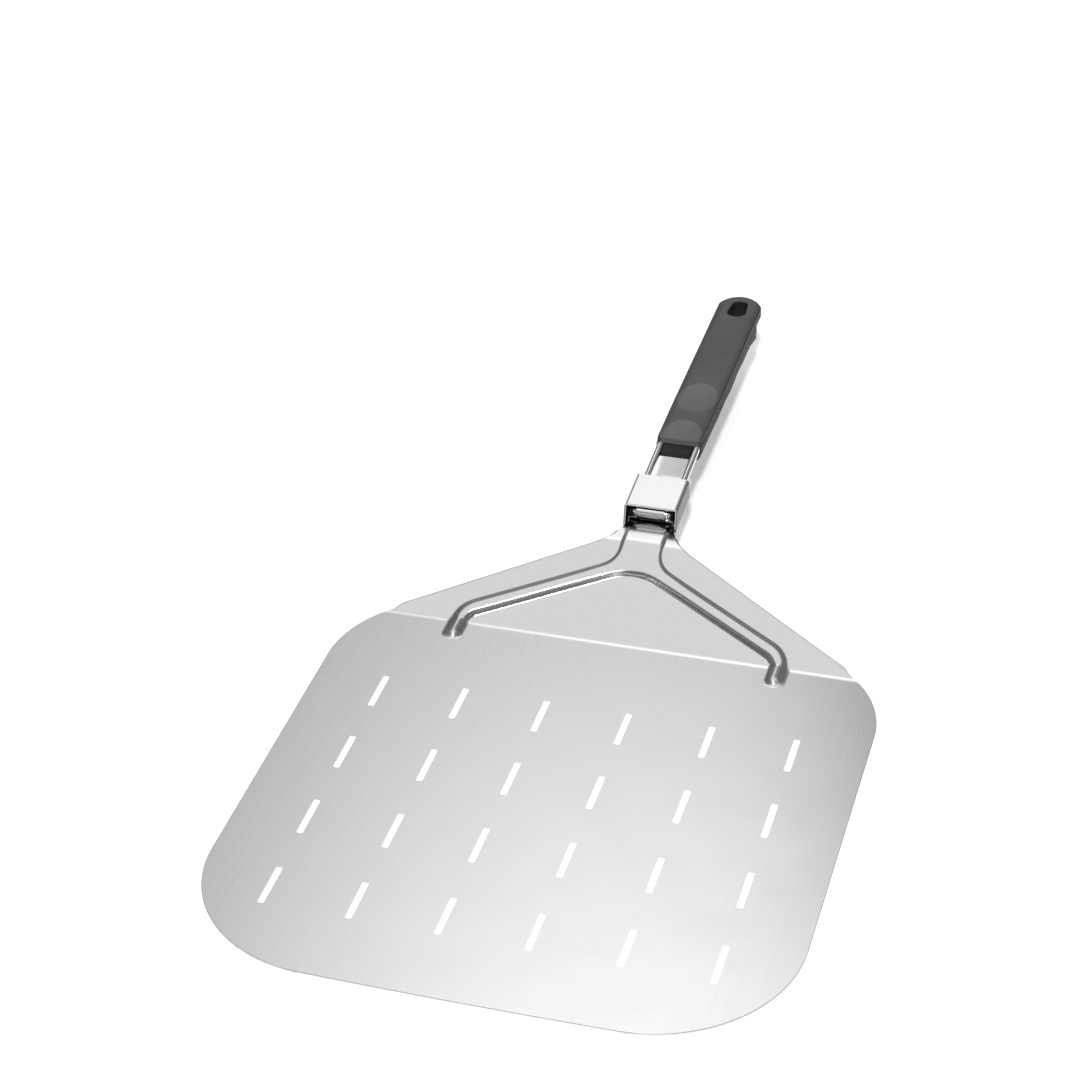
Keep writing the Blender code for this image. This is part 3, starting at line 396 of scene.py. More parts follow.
def shade(tree, factor):
    """Multiply the shader's colour, whatever feeds it, by a socket's value."""
    shader = tree.nodes["Principled BSDF"]
    plain = shader.inputs["Base Color"].links[0].from_socket
    scaled = tree.nodes.new("ShaderNodeVectorMath")
    scaled.operation = "SCALE"
    tree.links.new(plain, scaled.inputs[0])
    tree.links.new(factor, scaled.inputs["Scale"])
    tree.links.new(scaled.outputs["Vector"], shader.inputs["Base Color"])


def stretched_noise(tree, stretch, scale, detail=4.0, roughness=0.6):
    """Noise on object coordinates, drawn out along the axes by stretch."""
    coords = tree.nodes.new("ShaderNodeTexCoord")
    mapping = tree.nodes.new("ShaderNodeMapping")
    mapping.inputs["Scale"].default_value = stretch
    noise = tree.nodes.new("ShaderNodeTexNoise")
    noise.inputs["Scale"].default_value = scale
    noise.inputs["Detail"].default_value = detail
    noise.inputs["Roughness"].default_value = roughness
    tree.links.new(coords.outputs["Object"], mapping.inputs["Vector"])
    tree.links.new(mapping.outputs["Vector"], noise.inputs["Vector"])
    return noise.outputs["Fac"]


def remap(tree, value, low, high):
    """Stretch a noise value onto low..high."""
    node = tree.nodes.new("ShaderNodeMapRange")
    node.inputs["From Min"].default_value = NOISE_LOW
    node.inputs["From Max"].default_value = NOISE_HIGH
    node.inputs["To Min"].default_value = low
    node.inputs["To Max"].default_value = high
    tree.links.new(value, node.inputs["Value"])
    return node.outputs["Result"]


def mix_colours(tree, factor, first, second):
    """From the first colour to the second as the factor goes from 0 to 1."""
    node = tree.nodes.new("ShaderNodeMix")
    node.data_type = "RGBA"
    node.inputs["A"].default_value = (*first, 1.0)
    node.inputs["B"].default_value = (*second, 1.0)
    tree.links.new(factor, node.inputs["Factor"])
    return node.outputs["Result"]


def add_bump(tree, shader, height, strength, distance):
    """Let a height socket disturb the shader's normal."""
    bump = tree.nodes.new("ShaderNodeBump")
    bump.inputs["Strength"].default_value = strength
    bump.inputs["Distance"].default_value = distance
    tree.links.new(height, bump.inputs["Height"])
    tree.links.new(bump.outputs["Normal"], shader.inputs["Normal"])


def brushed_steel(name, colour, roughness, grain, strength=0.12, spread=0.05):
    """Stainless steel with a brushed grain along the axis where grain is small."""
    material, tree, shader = shader_material(name, colour, roughness, 1.0)
    fine = stretched_noise(tree, grain, 1.0, detail=6.0, roughness=0.75)
    cloud = stretched_noise(tree, (1, 1, 1), 28.0, detail=3.0)
    dark = tuple(c * 0.955 for c in colour)
    light = tuple(min(1.0, c * 1.035) for c in colour)
    factor = remap(tree, fine, 0.0, 1.0)
    tree.links.new(mix_colours(tree, factor, dark, light), shader.inputs["Base Color"])
    streaks = remap(tree, fine, roughness - spread, roughness + spread)
    total = maths(tree, "ADD", streaks, remap(tree, cloud, -0.02, 0.02))
    tree.links.new(total, shader.inputs["Roughness"])
    add_bump(tree, shader, fine, strength, 0.02 * MM)
    return material


def moulded_plastic(name, colour, roughness):
    """Matt moulded plastic: spark-eroded texture with slight handling marks."""
    material, tree, shader = shader_material(name, colour, roughness, 0.0)
    shader.inputs["Specular IOR Level"].default_value = PLASTIC_SHEEN
    grain = stretched_noise(tree, (1, 1, 1), 2600.0, detail=3.0, roughness=0.7)
    cloud = stretched_noise(tree, (1, 0.4, 1), 55.0, detail=4.0)
    dark = tuple(c * 0.88 for c in colour)
    light = tuple(c * 1.12 for c in colour)
    tree.links.new(mix_colours(tree, remap(tree, cloud, 0.0, 1.0), dark, light), shader.inputs["Base Color"])
    tree.links.new(remap(tree, cloud, roughness - 0.05, roughness + 0.05), shader.inputs["Roughness"])
    add_bump(tree, shader, grain, 0.25, 0.03 * MM)
    return material


def thumb_rests(tree, aside, y):
    """1 inside a thumb rest and 0 outside, as a socket: where the painted highlight goes."""
    rests = 0.0
    for centre in DIMPLES:
        across = maths(tree, "POWER", maths(tree, "DIVIDE", aside, DIMPLE_HALF_WIDTH), 2.0)
        along = maths(tree, "SUBTRACT", y, FRONT_Y + centre)
        along = maths(tree, "DIVIDE", maths(tree, "ABSOLUTE", along), DIMPLE_HALF_LENGTH)
        apart = maths(tree, "ADD", across, maths(tree, "POWER", along, 2.0))
        rests = maths(tree, "MAXIMUM", rests, ramp(tree, apart, REST_EDGE, 1.0, 1.0, 0.0))
    return rests


def inside_hole(tree, aside, y, z):
    """1 down in the hanging hole and 0 outside, as a socket: where the painted shade goes."""
    within = maths(tree, "LESS_THAN", aside, HOLE_FRONT_HALF + HOLE_MARGIN)
    behind_front = maths(tree, "GREATER_THAN", y, FRONT_Y + HOLE_FRONT - HOLE_MARGIN)
    before_rear = maths(tree, "LESS_THAN", y, FRONT_Y + HOLE_REAR + HOLE_MARGIN)
    within = maths(tree, "MULTIPLY", within, maths(tree, "MULTIPLY", behind_front, before_rear))
    hole_top = GRIP_TOP + math.tan(GRIP_RISE) * (HOLE_FRONT - UPPER_TOP_FRONT)
    shade_start, shade_end = (hole_top + depth for depth in HOLE_SHADE)
    return maths(tree, "MULTIPLY", within, ramp(tree, z, shade_start, shade_end, 1.0, 0.0))


def grip_plastic(name, colour, roughness):
    """The moulded plastic of the grip, with light and shade painted in: a painted highlight on the thumb
    rests, and painted shade towards the crown's edges, on the sides, on the front face and down the hole.
    """
    material = moulded_plastic(name, colour, roughness)
    tree = material.node_tree
    x, y, z = object_axes(tree)
    aside = maths(tree, "ABSOLUTE", x)
    factor = maths(tree, "ADD", 1.0, maths(tree, "MULTIPLY", thumb_rests(tree, aside, y), REST_PAINTED_HIGHLIGHT))
    factor = maths(tree, "MULTIPLY", factor, ramp(tree, aside, *CROWN_SHADE, 1.0, CROWN_PAINTED_SHADE))
    factor = maths(tree, "MULTIPLY", factor, ramp(tree, aside, *SIDE_SHADE, 1.0, SIDE_PAINTED_SHADE))
    face_start, face_end = (FRONT_Y + place for place in FACE_SHADE)
    factor = maths(tree, "MULTIPLY", factor, ramp(tree, y, face_start, face_end, FACE_PAINTED_SHADE, 1.0))
    painted_hole_shade = maths(tree, "MULTIPLY", inside_hole(tree, aside, y, z), HOLE_PAINTED_SHADE)
    shade(tree, maths(tree, "MULTIPLY", factor, maths(tree, "SUBTRACT", 1.0, painted_hole_shade)))
    return material


def blade_steel(name, colour, roughness):
    """Brushed sheet steel, with painted shade: a dark arch on the neck in the sleeve's mouth, by the
    bracket.
    """
    material = brushed_steel(name, colour, roughness, (1500, 22, 1500), strength=0.08)
    tree = material.node_tree
    x, y, _ = object_axes(tree)
    bulge = maths(tree, "POWER", maths(tree, "DIVIDE", maths(tree, "ABSOLUTE", x), ARCH_HALF_WIDTH), 2.0)
    bulge = maths(tree, "MINIMUM", bulge, 1.0)
    level = maths(tree, "ADD", y, maths(tree, "MULTIPLY", bulge, ARCH_RISE))
    start = FRONT_Y + ARCH_TOP
    shade(tree, ramp(tree, level, start, start + ARCH_EDGE, 1.0, ARCH_PAINTED_SHADE))
    return material


def sleeve_steel(name, colour, roughness):
    """Satin steel, with painted shade inside the sleeve and on its flanks."""
    material = brushed_steel(name, colour, roughness, (1500, 40, 1500), strength=0.05)
    tree = material.node_tree
    x, y, z = object_axes(tree)
    aside = maths(tree, "ABSOLUTE", x)
    c, s = math.cos(LEG_TILT), math.sin(LEG_TILT)
    up = maths(tree, "SUBTRACT", maths(tree, "MULTIPLY", z, c), HINGE.z * c - HINGE.y * s)
    up = maths(tree, "SUBTRACT", up, maths(tree, "MULTIPLY", y, s))
    level = maths(tree, "ABSOLUTE", maths(tree, "SUBTRACT", up, (SLEEVE_TOP + SLEEVE_BOTTOM) / 2))
    inner_half = (SLEEVE_TOP - SLEEVE_BOTTOM) / 2 - SLEEVE_WALL + INSIDE_MARGIN
    inner_aside = SLEEVE_HALF_WIDTH - SLEEVE_WALL + INSIDE_MARGIN
    inside = maths(tree, "MULTIPLY", maths(tree, "LESS_THAN", level, inner_half),
                   maths(tree, "LESS_THAN", aside, inner_aside))
    factor = maths(tree, "SUBTRACT", 1.0, maths(tree, "MULTIPLY", inside, 1.0 - INSIDE_PAINTED_SHADE))
    shade(tree, maths(tree, "MULTIPLY", factor, ramp(tree, aside, *FLANK_SHADE, 1.0, FLANK_PAINTED_SHADE)))
    return material


# ---------------------------------------------------------------- blade

def half_width(y):
    """Half the blade's width at y: corner arcs, sides, diagonals, neck fillets."""
    if y < FRONT_CORNER_RADIUS:
        rise = FRONT_CORNER_RADIUS - y
        return HALF_WIDTH - FRONT_CORNER_RADIUS + math.sqrt(FRONT_CORNER_RADIUS ** 2 - rise ** 2)
    if y < REAR_CORNER_ALONG:
        return HALF_WIDTH
    if y < SHOULDER[1]:
        into = min(y, REAR_ARC_END) - REAR_CORNER_ALONG
        arc = HALF_WIDTH - REAR_CORNER_RADIUS + math.sqrt(REAR_CORNER_RADIUS ** 2 - into ** 2)
        part = max(0.0, y - REAR_ARC_END) / (SHOULDER[1] - REAR_ARC_END)
        return arc + (SHOULDER[0] - arc) * part
    turn = math.atan(DIAGONAL_SLOPE)
    fillet_x = NECK_HALF_WIDTH + NECK_FILLET * (1 - math.cos(turn))
    fillet_y = SHOULDER[1] + (SHOULDER[0] - fillet_x) / DIAGONAL_SLOPE
    if y < fillet_y:
        return SHOULDER[0] - DIAGONAL_SLOPE * (y - SHOULDER[1])
    rise = max(0.0, (fillet_y + NECK_FILLET * math.sin(turn) - y) / NECK_FILLET)
    tuck = NECK_TUCK * float(smoothstep(y, *NECK_TUCK_RANGE))
    return NECK_HALF_WIDTH + NECK_FILLET * (1 - math.sqrt(1 - rise ** 2)) - tuck


def slope_angle(y):
    """The sheet's slope: flat, up the ramp, then almost level along the neck."""
    crease_half = CREASE_RADIUS * math.sin(RAMP_ANGLE) / 2
    bend_half = NECK_BEND_RADIUS * math.sin(RAMP_ANGLE - NECK_ANGLE) / 2
    up = np.clip((y - CREASE + crease_half) / (2 * crease_half), 0, 1)
    down = np.clip((y - NECK_BEND + bend_half) / (2 * bend_half), 0, 1)
    return RAMP_ANGLE * up - (RAMP_ANGLE - NECK_ANGLE) * down


PROFILE_STEP = 0.1 * MM
PROFILE_ALONG = np.arange(0.0, NECK_END + 2 * MM, PROFILE_STEP)
PROFILE_HEIGHT = SHEET / 2 + np.cumsum(np.tan(slope_angle(PROFILE_ALONG - PROFILE_STEP / 2))) * PROFILE_STEP


def wishbone_path(steps=12):
    """Centre line of the right half of the raised wishbone, from its foot to the middle."""
    arm = math.atan(ARM_SLOPE)
    top = ARM_POINT[1] + ARM_SLOPE * ARM_POINT[0]
    reach = FOOT_BEND_RADIUS * math.tan((math.pi / 2 - arm) / 2)
    centre = (FOOT_X - FOOT_BEND_RADIUS, top - ARM_SLOPE * FOOT_X - reach)
    points = [(FOOT_X, FOOT_END)]
    for k in range(steps + 1):
        angle = (math.pi / 2 - arm) * k / steps
        points.append((centre[0] + FOOT_BEND_RADIUS * math.cos(angle),
                       centre[1] + FOOT_BEND_RADIUS * math.sin(angle)))
    centre_y = top - ARM_SLOPE * ARM_APEX_RADIUS * math.sin(arm) - ARM_APEX_RADIUS * math.cos(arm)
    for k in range(steps + 1):
        angle = arm * (1 - k / steps)
        points.append((ARM_APEX_RADIUS * math.sin(angle), centre_y + ARM_APEX_RADIUS * math.cos(angle)))
    return points


def bead_height(x, y):
    """Height of the wishbone above the plain sheet, for arrays x and y."""
    x = np.abs(x)
    path = wishbone_path()
    nearest = np.full(x.shape, 1.0)
    outward = np.zeros(x.shape)
    for a, b in zip(path, path[1:]):
        ax, ay = b[0] - a[0], b[1] - a[1]
        t = np.clip(((x - a[0]) * ax + (y - a[1]) * ay) / (ax * ax + ay * ay), 0, 1)
        away = np.hypot(x - a[0] - t * ax, y - a[1] - t * ay)
        aside = (ay * (x - a[0]) - ax * (y - a[1])) / math.hypot(ax, ay)
        outward = np.where(away < nearest, aside, outward)
        nearest = np.minimum(nearest, away)
    arm = ARM_HALF_WIDTH - nearest
    stem = np.minimum(STEM_HALF_WIDTH - x, y - path[-1][1])
    blend = np.maximum(0.0, STEM_FILLET - np.abs(arm - stem)) / STEM_FILLET
    inside = np.maximum(arm, stem) + blend * blend * STEM_FILLET / 4
    fade = smoothstep(y, *BEAD_FADE)
    height = BEAD_HEIGHT + (BEAD_END_HEIGHT - BEAD_HEIGHT) * fade
    outer = smoothstep(outward, -BEAD_SIDES, BEAD_SIDES)
    wall = BEAD_INNER_WALL + (BEAD_OUTER_WALL - BEAD_INNER_WALL) * outer
    wall += (BEAD_END_WALL - wall) * fade
    return height * smoothstep(inside / wall, 0.0, 1.0)


def blade_rows():
    """Places of the sheet's rows: close at the corners, and closest over the wishbone."""
    front_turns = [math.radians(a) for a in range(0, 91, CORNER_STEP_DEGREES)]
    rear_turns = range(CORNER_STEP_DEGREES, REAR_CORNER_DEGREES + 1, CORNER_STEP_DEGREES)
    rows = [FRONT_CORNER_RADIUS * (1 - math.cos(a)) for a in front_turns]
    rows += [rows[-1] + (REAR_CORNER_ALONG - rows[-1]) * k / SIDE_ROWS for k in range(1, SIDE_ROWS + 1)]
    rows += [REAR_CORNER_ALONG + REAR_CORNER_RADIUS * math.sin(math.radians(a)) for a in rear_turns]
    step = (NECK_END - FINE_ROWS_START) / FINE_ROWS
    return rows + [FINE_ROWS_START + step * k for k in range(FINE_ROWS + 1)]


def slot_cutter():
    """Every slot of the blade as one solid that cuts through the sheet."""
    x, y = SLOT_WIDTH / 2, SLOT_LENGTH / 2
    outline = rounded_outline([(-x, -y), (x, -y), (x, y), (-x, y)], [SLOT_CORNER] * 4, steps=4)
    outlines = []
    for i in range(SLOT_COLUMNS):
        for j in range(SLOT_ROWS):
            cx = (i - (SLOT_COLUMNS - 1) / 2) * SLOT_PITCH[0]
            cy = FRONT_Y + SLOT_FIRST_ROW + j * SLOT_PITCH[1]
            outlines.append([(px + cx, py + cy) for px, py in outline])
    return welded(flat_curve("slots", outlines, 6 * SHEET))


def make_blade():
    """The sheet: outline, ramp, wishbone, turned-down shoulder edges and slots."""
    rows = blade_rows()
    total = BLADE_COLUMNS + 2 * LIP_STEPS
    bm = bmesh.new()
    bmesh.ops.create_grid(bm, x_segments=total, y_segments=len(rows) - 1, size=0.5)
    verts = list(bm.verts)
    column = np.array([round((v.co.x + 0.5) * total) for v in verts])
    row = np.array([round((v.co.y + 0.5) * (len(rows) - 1)) for v in verts])
    y = np.array(rows)[row]
    edge = np.array([half_width(r) for r in rows])[row]
    drop = LIP_DROP * smoothstep(y, *LIP_START) * (1 - smoothstep(y, *LIP_END))
    # inside the lip the columns are even; in it they follow a quarter turn and then go down
    beyond = np.maximum(0, np.maximum(LIP_STEPS - column, column - (total - LIP_STEPS)))
    turn = beyond / LIP_STEPS
    share = np.clip((column - LIP_STEPS) / BLADE_COLUMNS, 0, 1) * 2 - 1
    x = share * (edge - LIP_RADIUS) + np.sign(share) * LIP_RADIUS * np.sin(turn * math.pi / 2)
    fall = drop * (1 - np.cos(turn * math.pi / 2))
    slope = slope_angle(y)
    middle = np.interp(y, PROFILE_ALONG, PROFILE_HEIGHT)
    lift = bead_height(x, y) - fall
    bow = FRONT_BOW * np.minimum(1.0, (x / (HALF_WIDTH - FRONT_CORNER_RADIUS)) ** 2)
    bow *= 1 - smoothstep(y, 0.0, FRONT_CORNER_RADIUS)
    back, up = FRONT_Y + y + bow - lift * np.sin(slope), middle + lift * np.cos(slope)
    for vert, *place in zip(verts, x, back, up):
        vert.co = place
    blade = mesh_object("blade_sheet", bm)
    thickened(blade, SHEET)
    bevel(blade, RIM_EDGE, segments=2, angle=60, clamp=False)
    applied(blade)
    cut(blade, slot_cutter())
    smooth(blade, 50)
    even_normals(blade)
    return finished(blade, STEEL, "blade_body", "blade")


# ---------------------------------------------------------------- hinge, wire and sleeve

def tube(name, points, radius):
    """A curve through the points with a round section and closed ends."""
    curve = bpy.data.curves.new(name, "CURVE")
    curve.dimensions = "3D"
    curve.bevel_depth = radius
    curve.bevel_resolution = 7
    curve.use_fill_caps = True
    spline = curve.splines.new("POLY")
    spline.points.add(len(points) - 1)
    for target, point in zip(spline.points, points):
        target.co = (*point, 1)
    return new_object(name, curve)


def make_wire():
    """One rod: crossbar, bends, sloping legs, and ends that close in and hook inside the grip."""
    bend_x = LEG_X - LEG_BEND_RADIUS
    half = [leg_frame(x, 0, 0) for x in (0.0, bend_x * 0.5)]
    for k in range(WIRE_STEPS + 1):
        angle = math.radians(90) * k / WIRE_STEPS
        half.append(leg_frame(bend_x + LEG_BEND_RADIUS * math.sin(angle),
                              LEG_BEND_RADIUS * (1 - math.cos(angle)), 0))
    half += [leg_frame(LEG_X, along, 0) for along in (*LEG_POINTS, LEG_LENGTH - LEG_BEND_ROOM)]
    _, level_y, level_z = leg_frame(LEG_X, LEG_LENGTH, 0)
    half.append((LEG_X, level_y - LEG_LEVEL_BEFORE, level_z - LEG_LEVEL_DIP))
    half.append((LEG_X, level_y + LEG_LEVEL_AFTER, level_z))
    for k in range(WIRE_STEPS + 1):
        part = k / WIRE_STEPS
        closing = (LEG_X - LEG_INNER_X) * float(smoothstep(part, 0.0, 1.0))
        half.append((LEG_X - closing, level_y + LEG_CLOSING_START + LEG_CLOSING_LENGTH * part, level_z))
    for k in range(HOOK_STEPS + 1):
        angle = math.radians(90) * k / HOOK_STEPS
        half.append((LEG_INNER_X - LEG_HOOK_RADIUS * (1 - math.cos(angle)),
                     HINGE.y + LEG_END + LEG_HOOK_RADIUS * math.sin(angle), level_z))
    half.append((LEG_INNER_X - LEG_HOOK_RADIUS - LEG_TIP, HINGE.y + LEG_END + LEG_HOOK_RADIUS, level_z))
    points = [(-x, y, z) for x, y, z in reversed(half[1:])] + half
    wire = welded(tube("wire_rod", points, WIRE_RADIUS))
    smooth(wire, 50)
    return finished(wire, BRIGHT, "grip_body", "wire_frame")


def strip_grid(name, columns, rows, place):
    """A grid sheet whose points are placed by a function of column and row parts, 0 to 1."""
    bm = bmesh.new()
    bmesh.ops.create_grid(bm, x_segments=columns, y_segments=rows, size=0.5)
    for vert in bm.verts:
        vert.co = place(vert.co.x + 0.5, vert.co.y + 0.5)
    return mesh_object(name, bm)


def bracket_section(middle, steps=6):
    """Across the channel: down one side, over the rounded shoulders and down the other."""
    reach = BRACKET_HALF_WIDTH - BRACKET_SHEET / 2
    section = [(-reach, -BRACKET_DEPTH)]
    for side, first in ((-1, 180), (1, 90)):
        for k in range(steps + 1):
            angle = math.radians(first - 90 * k / steps)
            section.append((side * (reach - BRACKET_CORNER) + BRACKET_CORNER * math.cos(angle),
                            -middle - BRACKET_CORNER + BRACKET_CORNER * math.sin(angle)))
    return section + [(reach, -BRACKET_DEPTH)]


def tongue_opening(middle):
    """The block that opens the channel where the tongue was curled out of it."""
    side = BARREL_HALF + BRACKET_GAP
    low, high = BRACKET_FRONT - BRACKET_SHEET, BRACKET_GAP
    corners = [leg_frame(x, along, up) for up in (-middle - BRACKET_SHEET, -middle + BRACKET_SHEET)
               for x, along in ((-side, low), (side, low), (side, high), (-side, high))]
    opening = bmesh.new()
    verts = [opening.verts.new(corner) for corner in corners]
    for face in ((3, 2, 1, 0), (4, 5, 6, 7), (0, 1, 5, 4), (1, 2, 6, 5), (2, 3, 7, 6), (3, 0, 4, 7)):
        opening.faces.new([verts[k] for k in face])
    return mesh_object("tongue_opening", opening)


def make_bracket():
    """A channel with rounded shoulders, and a tongue curled up from its front edge round the rod."""
    middle = BARREL_INNER + BRACKET_SHEET / 2
    section = bracket_section(middle)
    count = len(section) - 1

    def channel(u, v):
        x, up = section[round(u * count)]
        sunk = max(0.0, -middle - up) / (BRACKET_DEPTH - middle)
        rear = BRACKET_REAR + (BRACKET_FLANGE_REAR - BRACKET_REAR) * min(1.0, sunk * BRACKET_SWEEP)
        return leg_frame(x, BRACKET_FRONT + (rear - BRACKET_FRONT) * v, up)

    def tongue(u, v):
        x = BARREL_HALF * (2 * u - 1)
        at = v * (TONGUE_RUN + TONGUE_TURN * middle)
        if at < TONGUE_RUN:
            return leg_frame(x, TONGUE_RUN - at, -middle)
        angle = -math.pi / 2 - (at - TONGUE_RUN) / middle
        return leg_frame(x, middle * math.cos(angle), middle * math.sin(angle))

    parts = [strip_grid("hinge_channel", count, 8, channel), strip_grid("hinge_tongue", 2, 48, tongue)]
    for part in parts:
        applied(thickened(part, BRACKET_SHEET))
    cut(parts[0], tongue_opening(middle))
    for part in parts:
        bevel(part, BRACKET_EDGE, 2, 60)
        applied(part)
        smooth(part, 40)
        even_normals(part)
        finished(part, SATIN, "blade_body", "hinge_bracket")


def make_sleeve():
    """Rectangular tube, open at both ends, its mouths cut aslant and its edges broken."""
    half = (SLEEVE_TOP - SLEEVE_BOTTOM) / 2
    outlines = []
    for inset in (0.0, SLEEVE_WALL):
        x, z = SLEEVE_HALF_WIDTH - inset, half - inset
        outlines.append(rounded_outline([(-x, -z), (x, -z), (x, z), (-x, z)], [SLEEVE_CORNER - inset] * 4))
    # a tube of any length: its vertices are then moved to the mouths
    sleeve = welded(flat_curve("sliding_sleeve", outlines, 1.0))
    for vert in sleeve.data.vertices:
        up = (SLEEVE_TOP + SLEEVE_BOTTOM) / 2 + vert.co.y
        part = (up - SLEEVE_BOTTOM) / (SLEEVE_TOP - SLEEVE_BOTTOM)
        front = SLEEVE_BOTTOM_FRONT + (SLEEVE_TOP_FRONT - SLEEVE_BOTTOM_FRONT) * part
        rear = SLEEVE_BOTTOM_REAR + (SLEEVE_TOP_REAR - SLEEVE_BOTTOM_REAR) * part
        vert.co = leg_frame(vert.co.x, front if vert.co.z > 0 else rear, up)
    bevel(sleeve, SLEEVE_EDGE, 3, 50)
    applied(sleeve)
    smooth(sleeve, 40)
    even_normals(sleeve)
    return finished(sleeve, SLEEVE_STEEL, "sleeve_body", "locking_sleeve")


def make_spring():
    """Bowed leaf spring under the sleeve's roof, resting on both legs."""
    roof = SLEEVE_TOP - SLEEVE_WALL - SPRING_GAP - SPRING_STRIP / 2
    rest = WIRE_RADIUS + SPRING_GAP + SPRING_STRIP / 2
    reach = LEG_X + WIRE_RADIUS / 2

    def leaf(u, v):
        part = 2 * u - 1
        along = SPRING_CENTRE + SPRING_HALF_WIDTH * (2 * v - 1)
        return leg_frame(part * reach, along, roof + (rest - roof) * part ** 2)

    spring = strip_grid("leaf_spring", 40, 4, leaf)
    applied(thickened(spring, SPRING_STRIP))
    smooth(spring)
    return finished(spring, SPRING, "sleeve_body", "sleeve_spring")


# ---------------------------------------------------------------- grip

def grip_half(y):
    """Half the grip's width, which grows a little behind the front."""
    part = float(smoothstep(y, UPPER_FRONT, GRIP_TAPER_END))
    return GRIP_FRONT_HALF + (GRIP_HALF - GRIP_FRONT_HALF) * part


def grip_top(x, y):
    """Height of the crowned, rising top with its two thumb rests."""
    top = -CROWN_RADIUS + math.sqrt(CROWN_RADIUS ** 2 - x * x)
    for centre in DIMPLES:
        apart = (x / DIMPLE_HALF_WIDTH) ** 2 + ((y - centre) / DIMPLE_HALF_LENGTH) ** 2
        top -= DIMPLE_DEPTH * max(0.0, 1 - apart)
    return GRIP_TOP + math.tan(GRIP_RISE) * (y - UPPER_TOP_FRONT) + top


def crowned_block():
    """The upper shell before its tail and hole: crowned top, round end, front face that leans back."""
    end_centre = GRIP_END - GRIP_END_RADIUS
    bm = bmesh.new()
    bmesh.ops.create_grid(bm, x_segments=UPPER_COLUMNS, y_segments=UPPER_ROWS, size=0.5)
    border = [e for e in bm.edges if e.is_boundary]

    def spread(part, count, length):
        """Even steps, but for a first and last step of the margin's width, which the edge's bevel needs."""
        k = round(part * count)
        if k in (0, count):
            return length * k / count
        return UPPER_MARGIN + (length - 2 * UPPER_MARGIN) * (k - 1) / (count - 2)

    for vert in bm.verts:
        u, v = vert.co.x + 0.5, vert.co.y + 0.5
        across = spread(u, UPPER_COLUMNS, 2 * GRIP_HALF) / GRIP_HALF - 1
        end = end_centre + math.sqrt(GRIP_END_RADIUS ** 2 - (across * GRIP_HALF) ** 2)
        y = UPPER_TOP_FRONT + spread(v, UPPER_ROWS, end - UPPER_TOP_FRONT)
        x = across * grip_half(y)
        vert.co = (x, FRONT_Y + y, grip_top(x, y))
    skirt = bmesh.ops.extrude_edge_only(bm, edges=border)
    for vert in [g for g in skirt["geom"] if isinstance(g, bmesh.types.BMVert)]:
        if vert.co.y < FRONT_Y + UPPER_TOP_FRONT + FRONT_EDGE_MARGIN:
            vert.co.y = FRONT_Y + UPPER_FRONT
        vert.co.z = PARTING + PARTING_GAP
    bmesh.ops.contextual_create(bm, geom=[e for e in bm.edges if e.is_boundary])
    shell = mesh_object("upper_shell", bm)
    bevel(shell, GRIP_EDGE, 4, 55)
    return applied(shell)


def make_tail():
    """The collar that goes down round the hanging hole."""
    outline = rounded_outline([(-TAIL_HALF, TAIL_FRONT), (TAIL_HALF, TAIL_FRONT), (TAIL_HALF, TAIL_REAR),
                               (-TAIL_HALF, TAIL_REAR)], [TAIL_FRONT_CORNER] * 2 + [TAIL_REAR_CORNER] * 2)
    depth = PARTING + TAIL_OVERLAP - TAIL_BOTTOM
    tail = flat_curve("tail", [[(x, y + FRONT_Y) for x, y in outline]], depth)
    tail.location.z = TAIL_BOTTOM + depth / 2
    bpy.context.view_layer.update()
    tail = welded(tail)
    bevel(tail, TAIL_EDGE, 3, 60)
    return applied(tail)


def hole_punch():
    """The hanging hole as a solid, flared at the top for the hole's rounded rim."""
    middle = (HOLE_FRONT + HOLE_REAR) / 2
    top = grip_top(0, middle)
    outline = rounded_outline([(-HOLE_FRONT_HALF, HOLE_FRONT), (HOLE_FRONT_HALF, HOLE_FRONT),
                               (HOLE_REAR_HALF, HOLE_REAR), (-HOLE_REAR_HALF, HOLE_REAR)],
                              [HOLE_FRONT_CORNER] * 2 + [HOLE_REAR_CORNER] * 2, steps=10)
    outline = [(x, y - middle) for x, y in outline]
    bm = bmesh.new()
    rings = []
    for height, flare in HOLE_LEVELS:
        ring = []
        for x, y in outline:
            out = Vector((x, y)).normalized() * HOLE_RIM * flare
            ring.append(bm.verts.new((x + out.x, y + out.y, height * HOLE_RIM)))
        rings.append(ring)
    for low_ring, high_ring in zip(rings, rings[1:]):
        for k in range(len(outline)):
            after = (k + 1) % len(outline)
            bm.faces.new((low_ring[k], low_ring[after], high_ring[after], high_ring[k]))
    bm.faces.new(rings[0])
    bm.faces.new(rings[-1])
    for vert in bm.verts:
        lift = math.tan(GRIP_RISE) * vert.co.y
        vert.co = (vert.co.x, vert.co.y + middle + FRONT_Y, vert.co.z + top + lift)
    return mesh_object("hole_punch", bm)


def make_upper_shell():
    """The grey upper half of the grip, with its collar and hanging hole."""
    shell = crowned_block()
    cut(shell, make_tail(), "UNION")
    cut(shell, hole_punch())
    smooth(shell, 30)
    even_normals(shell)
    return finished(shell, GREY, "grip_body", "handle_upper_shell")


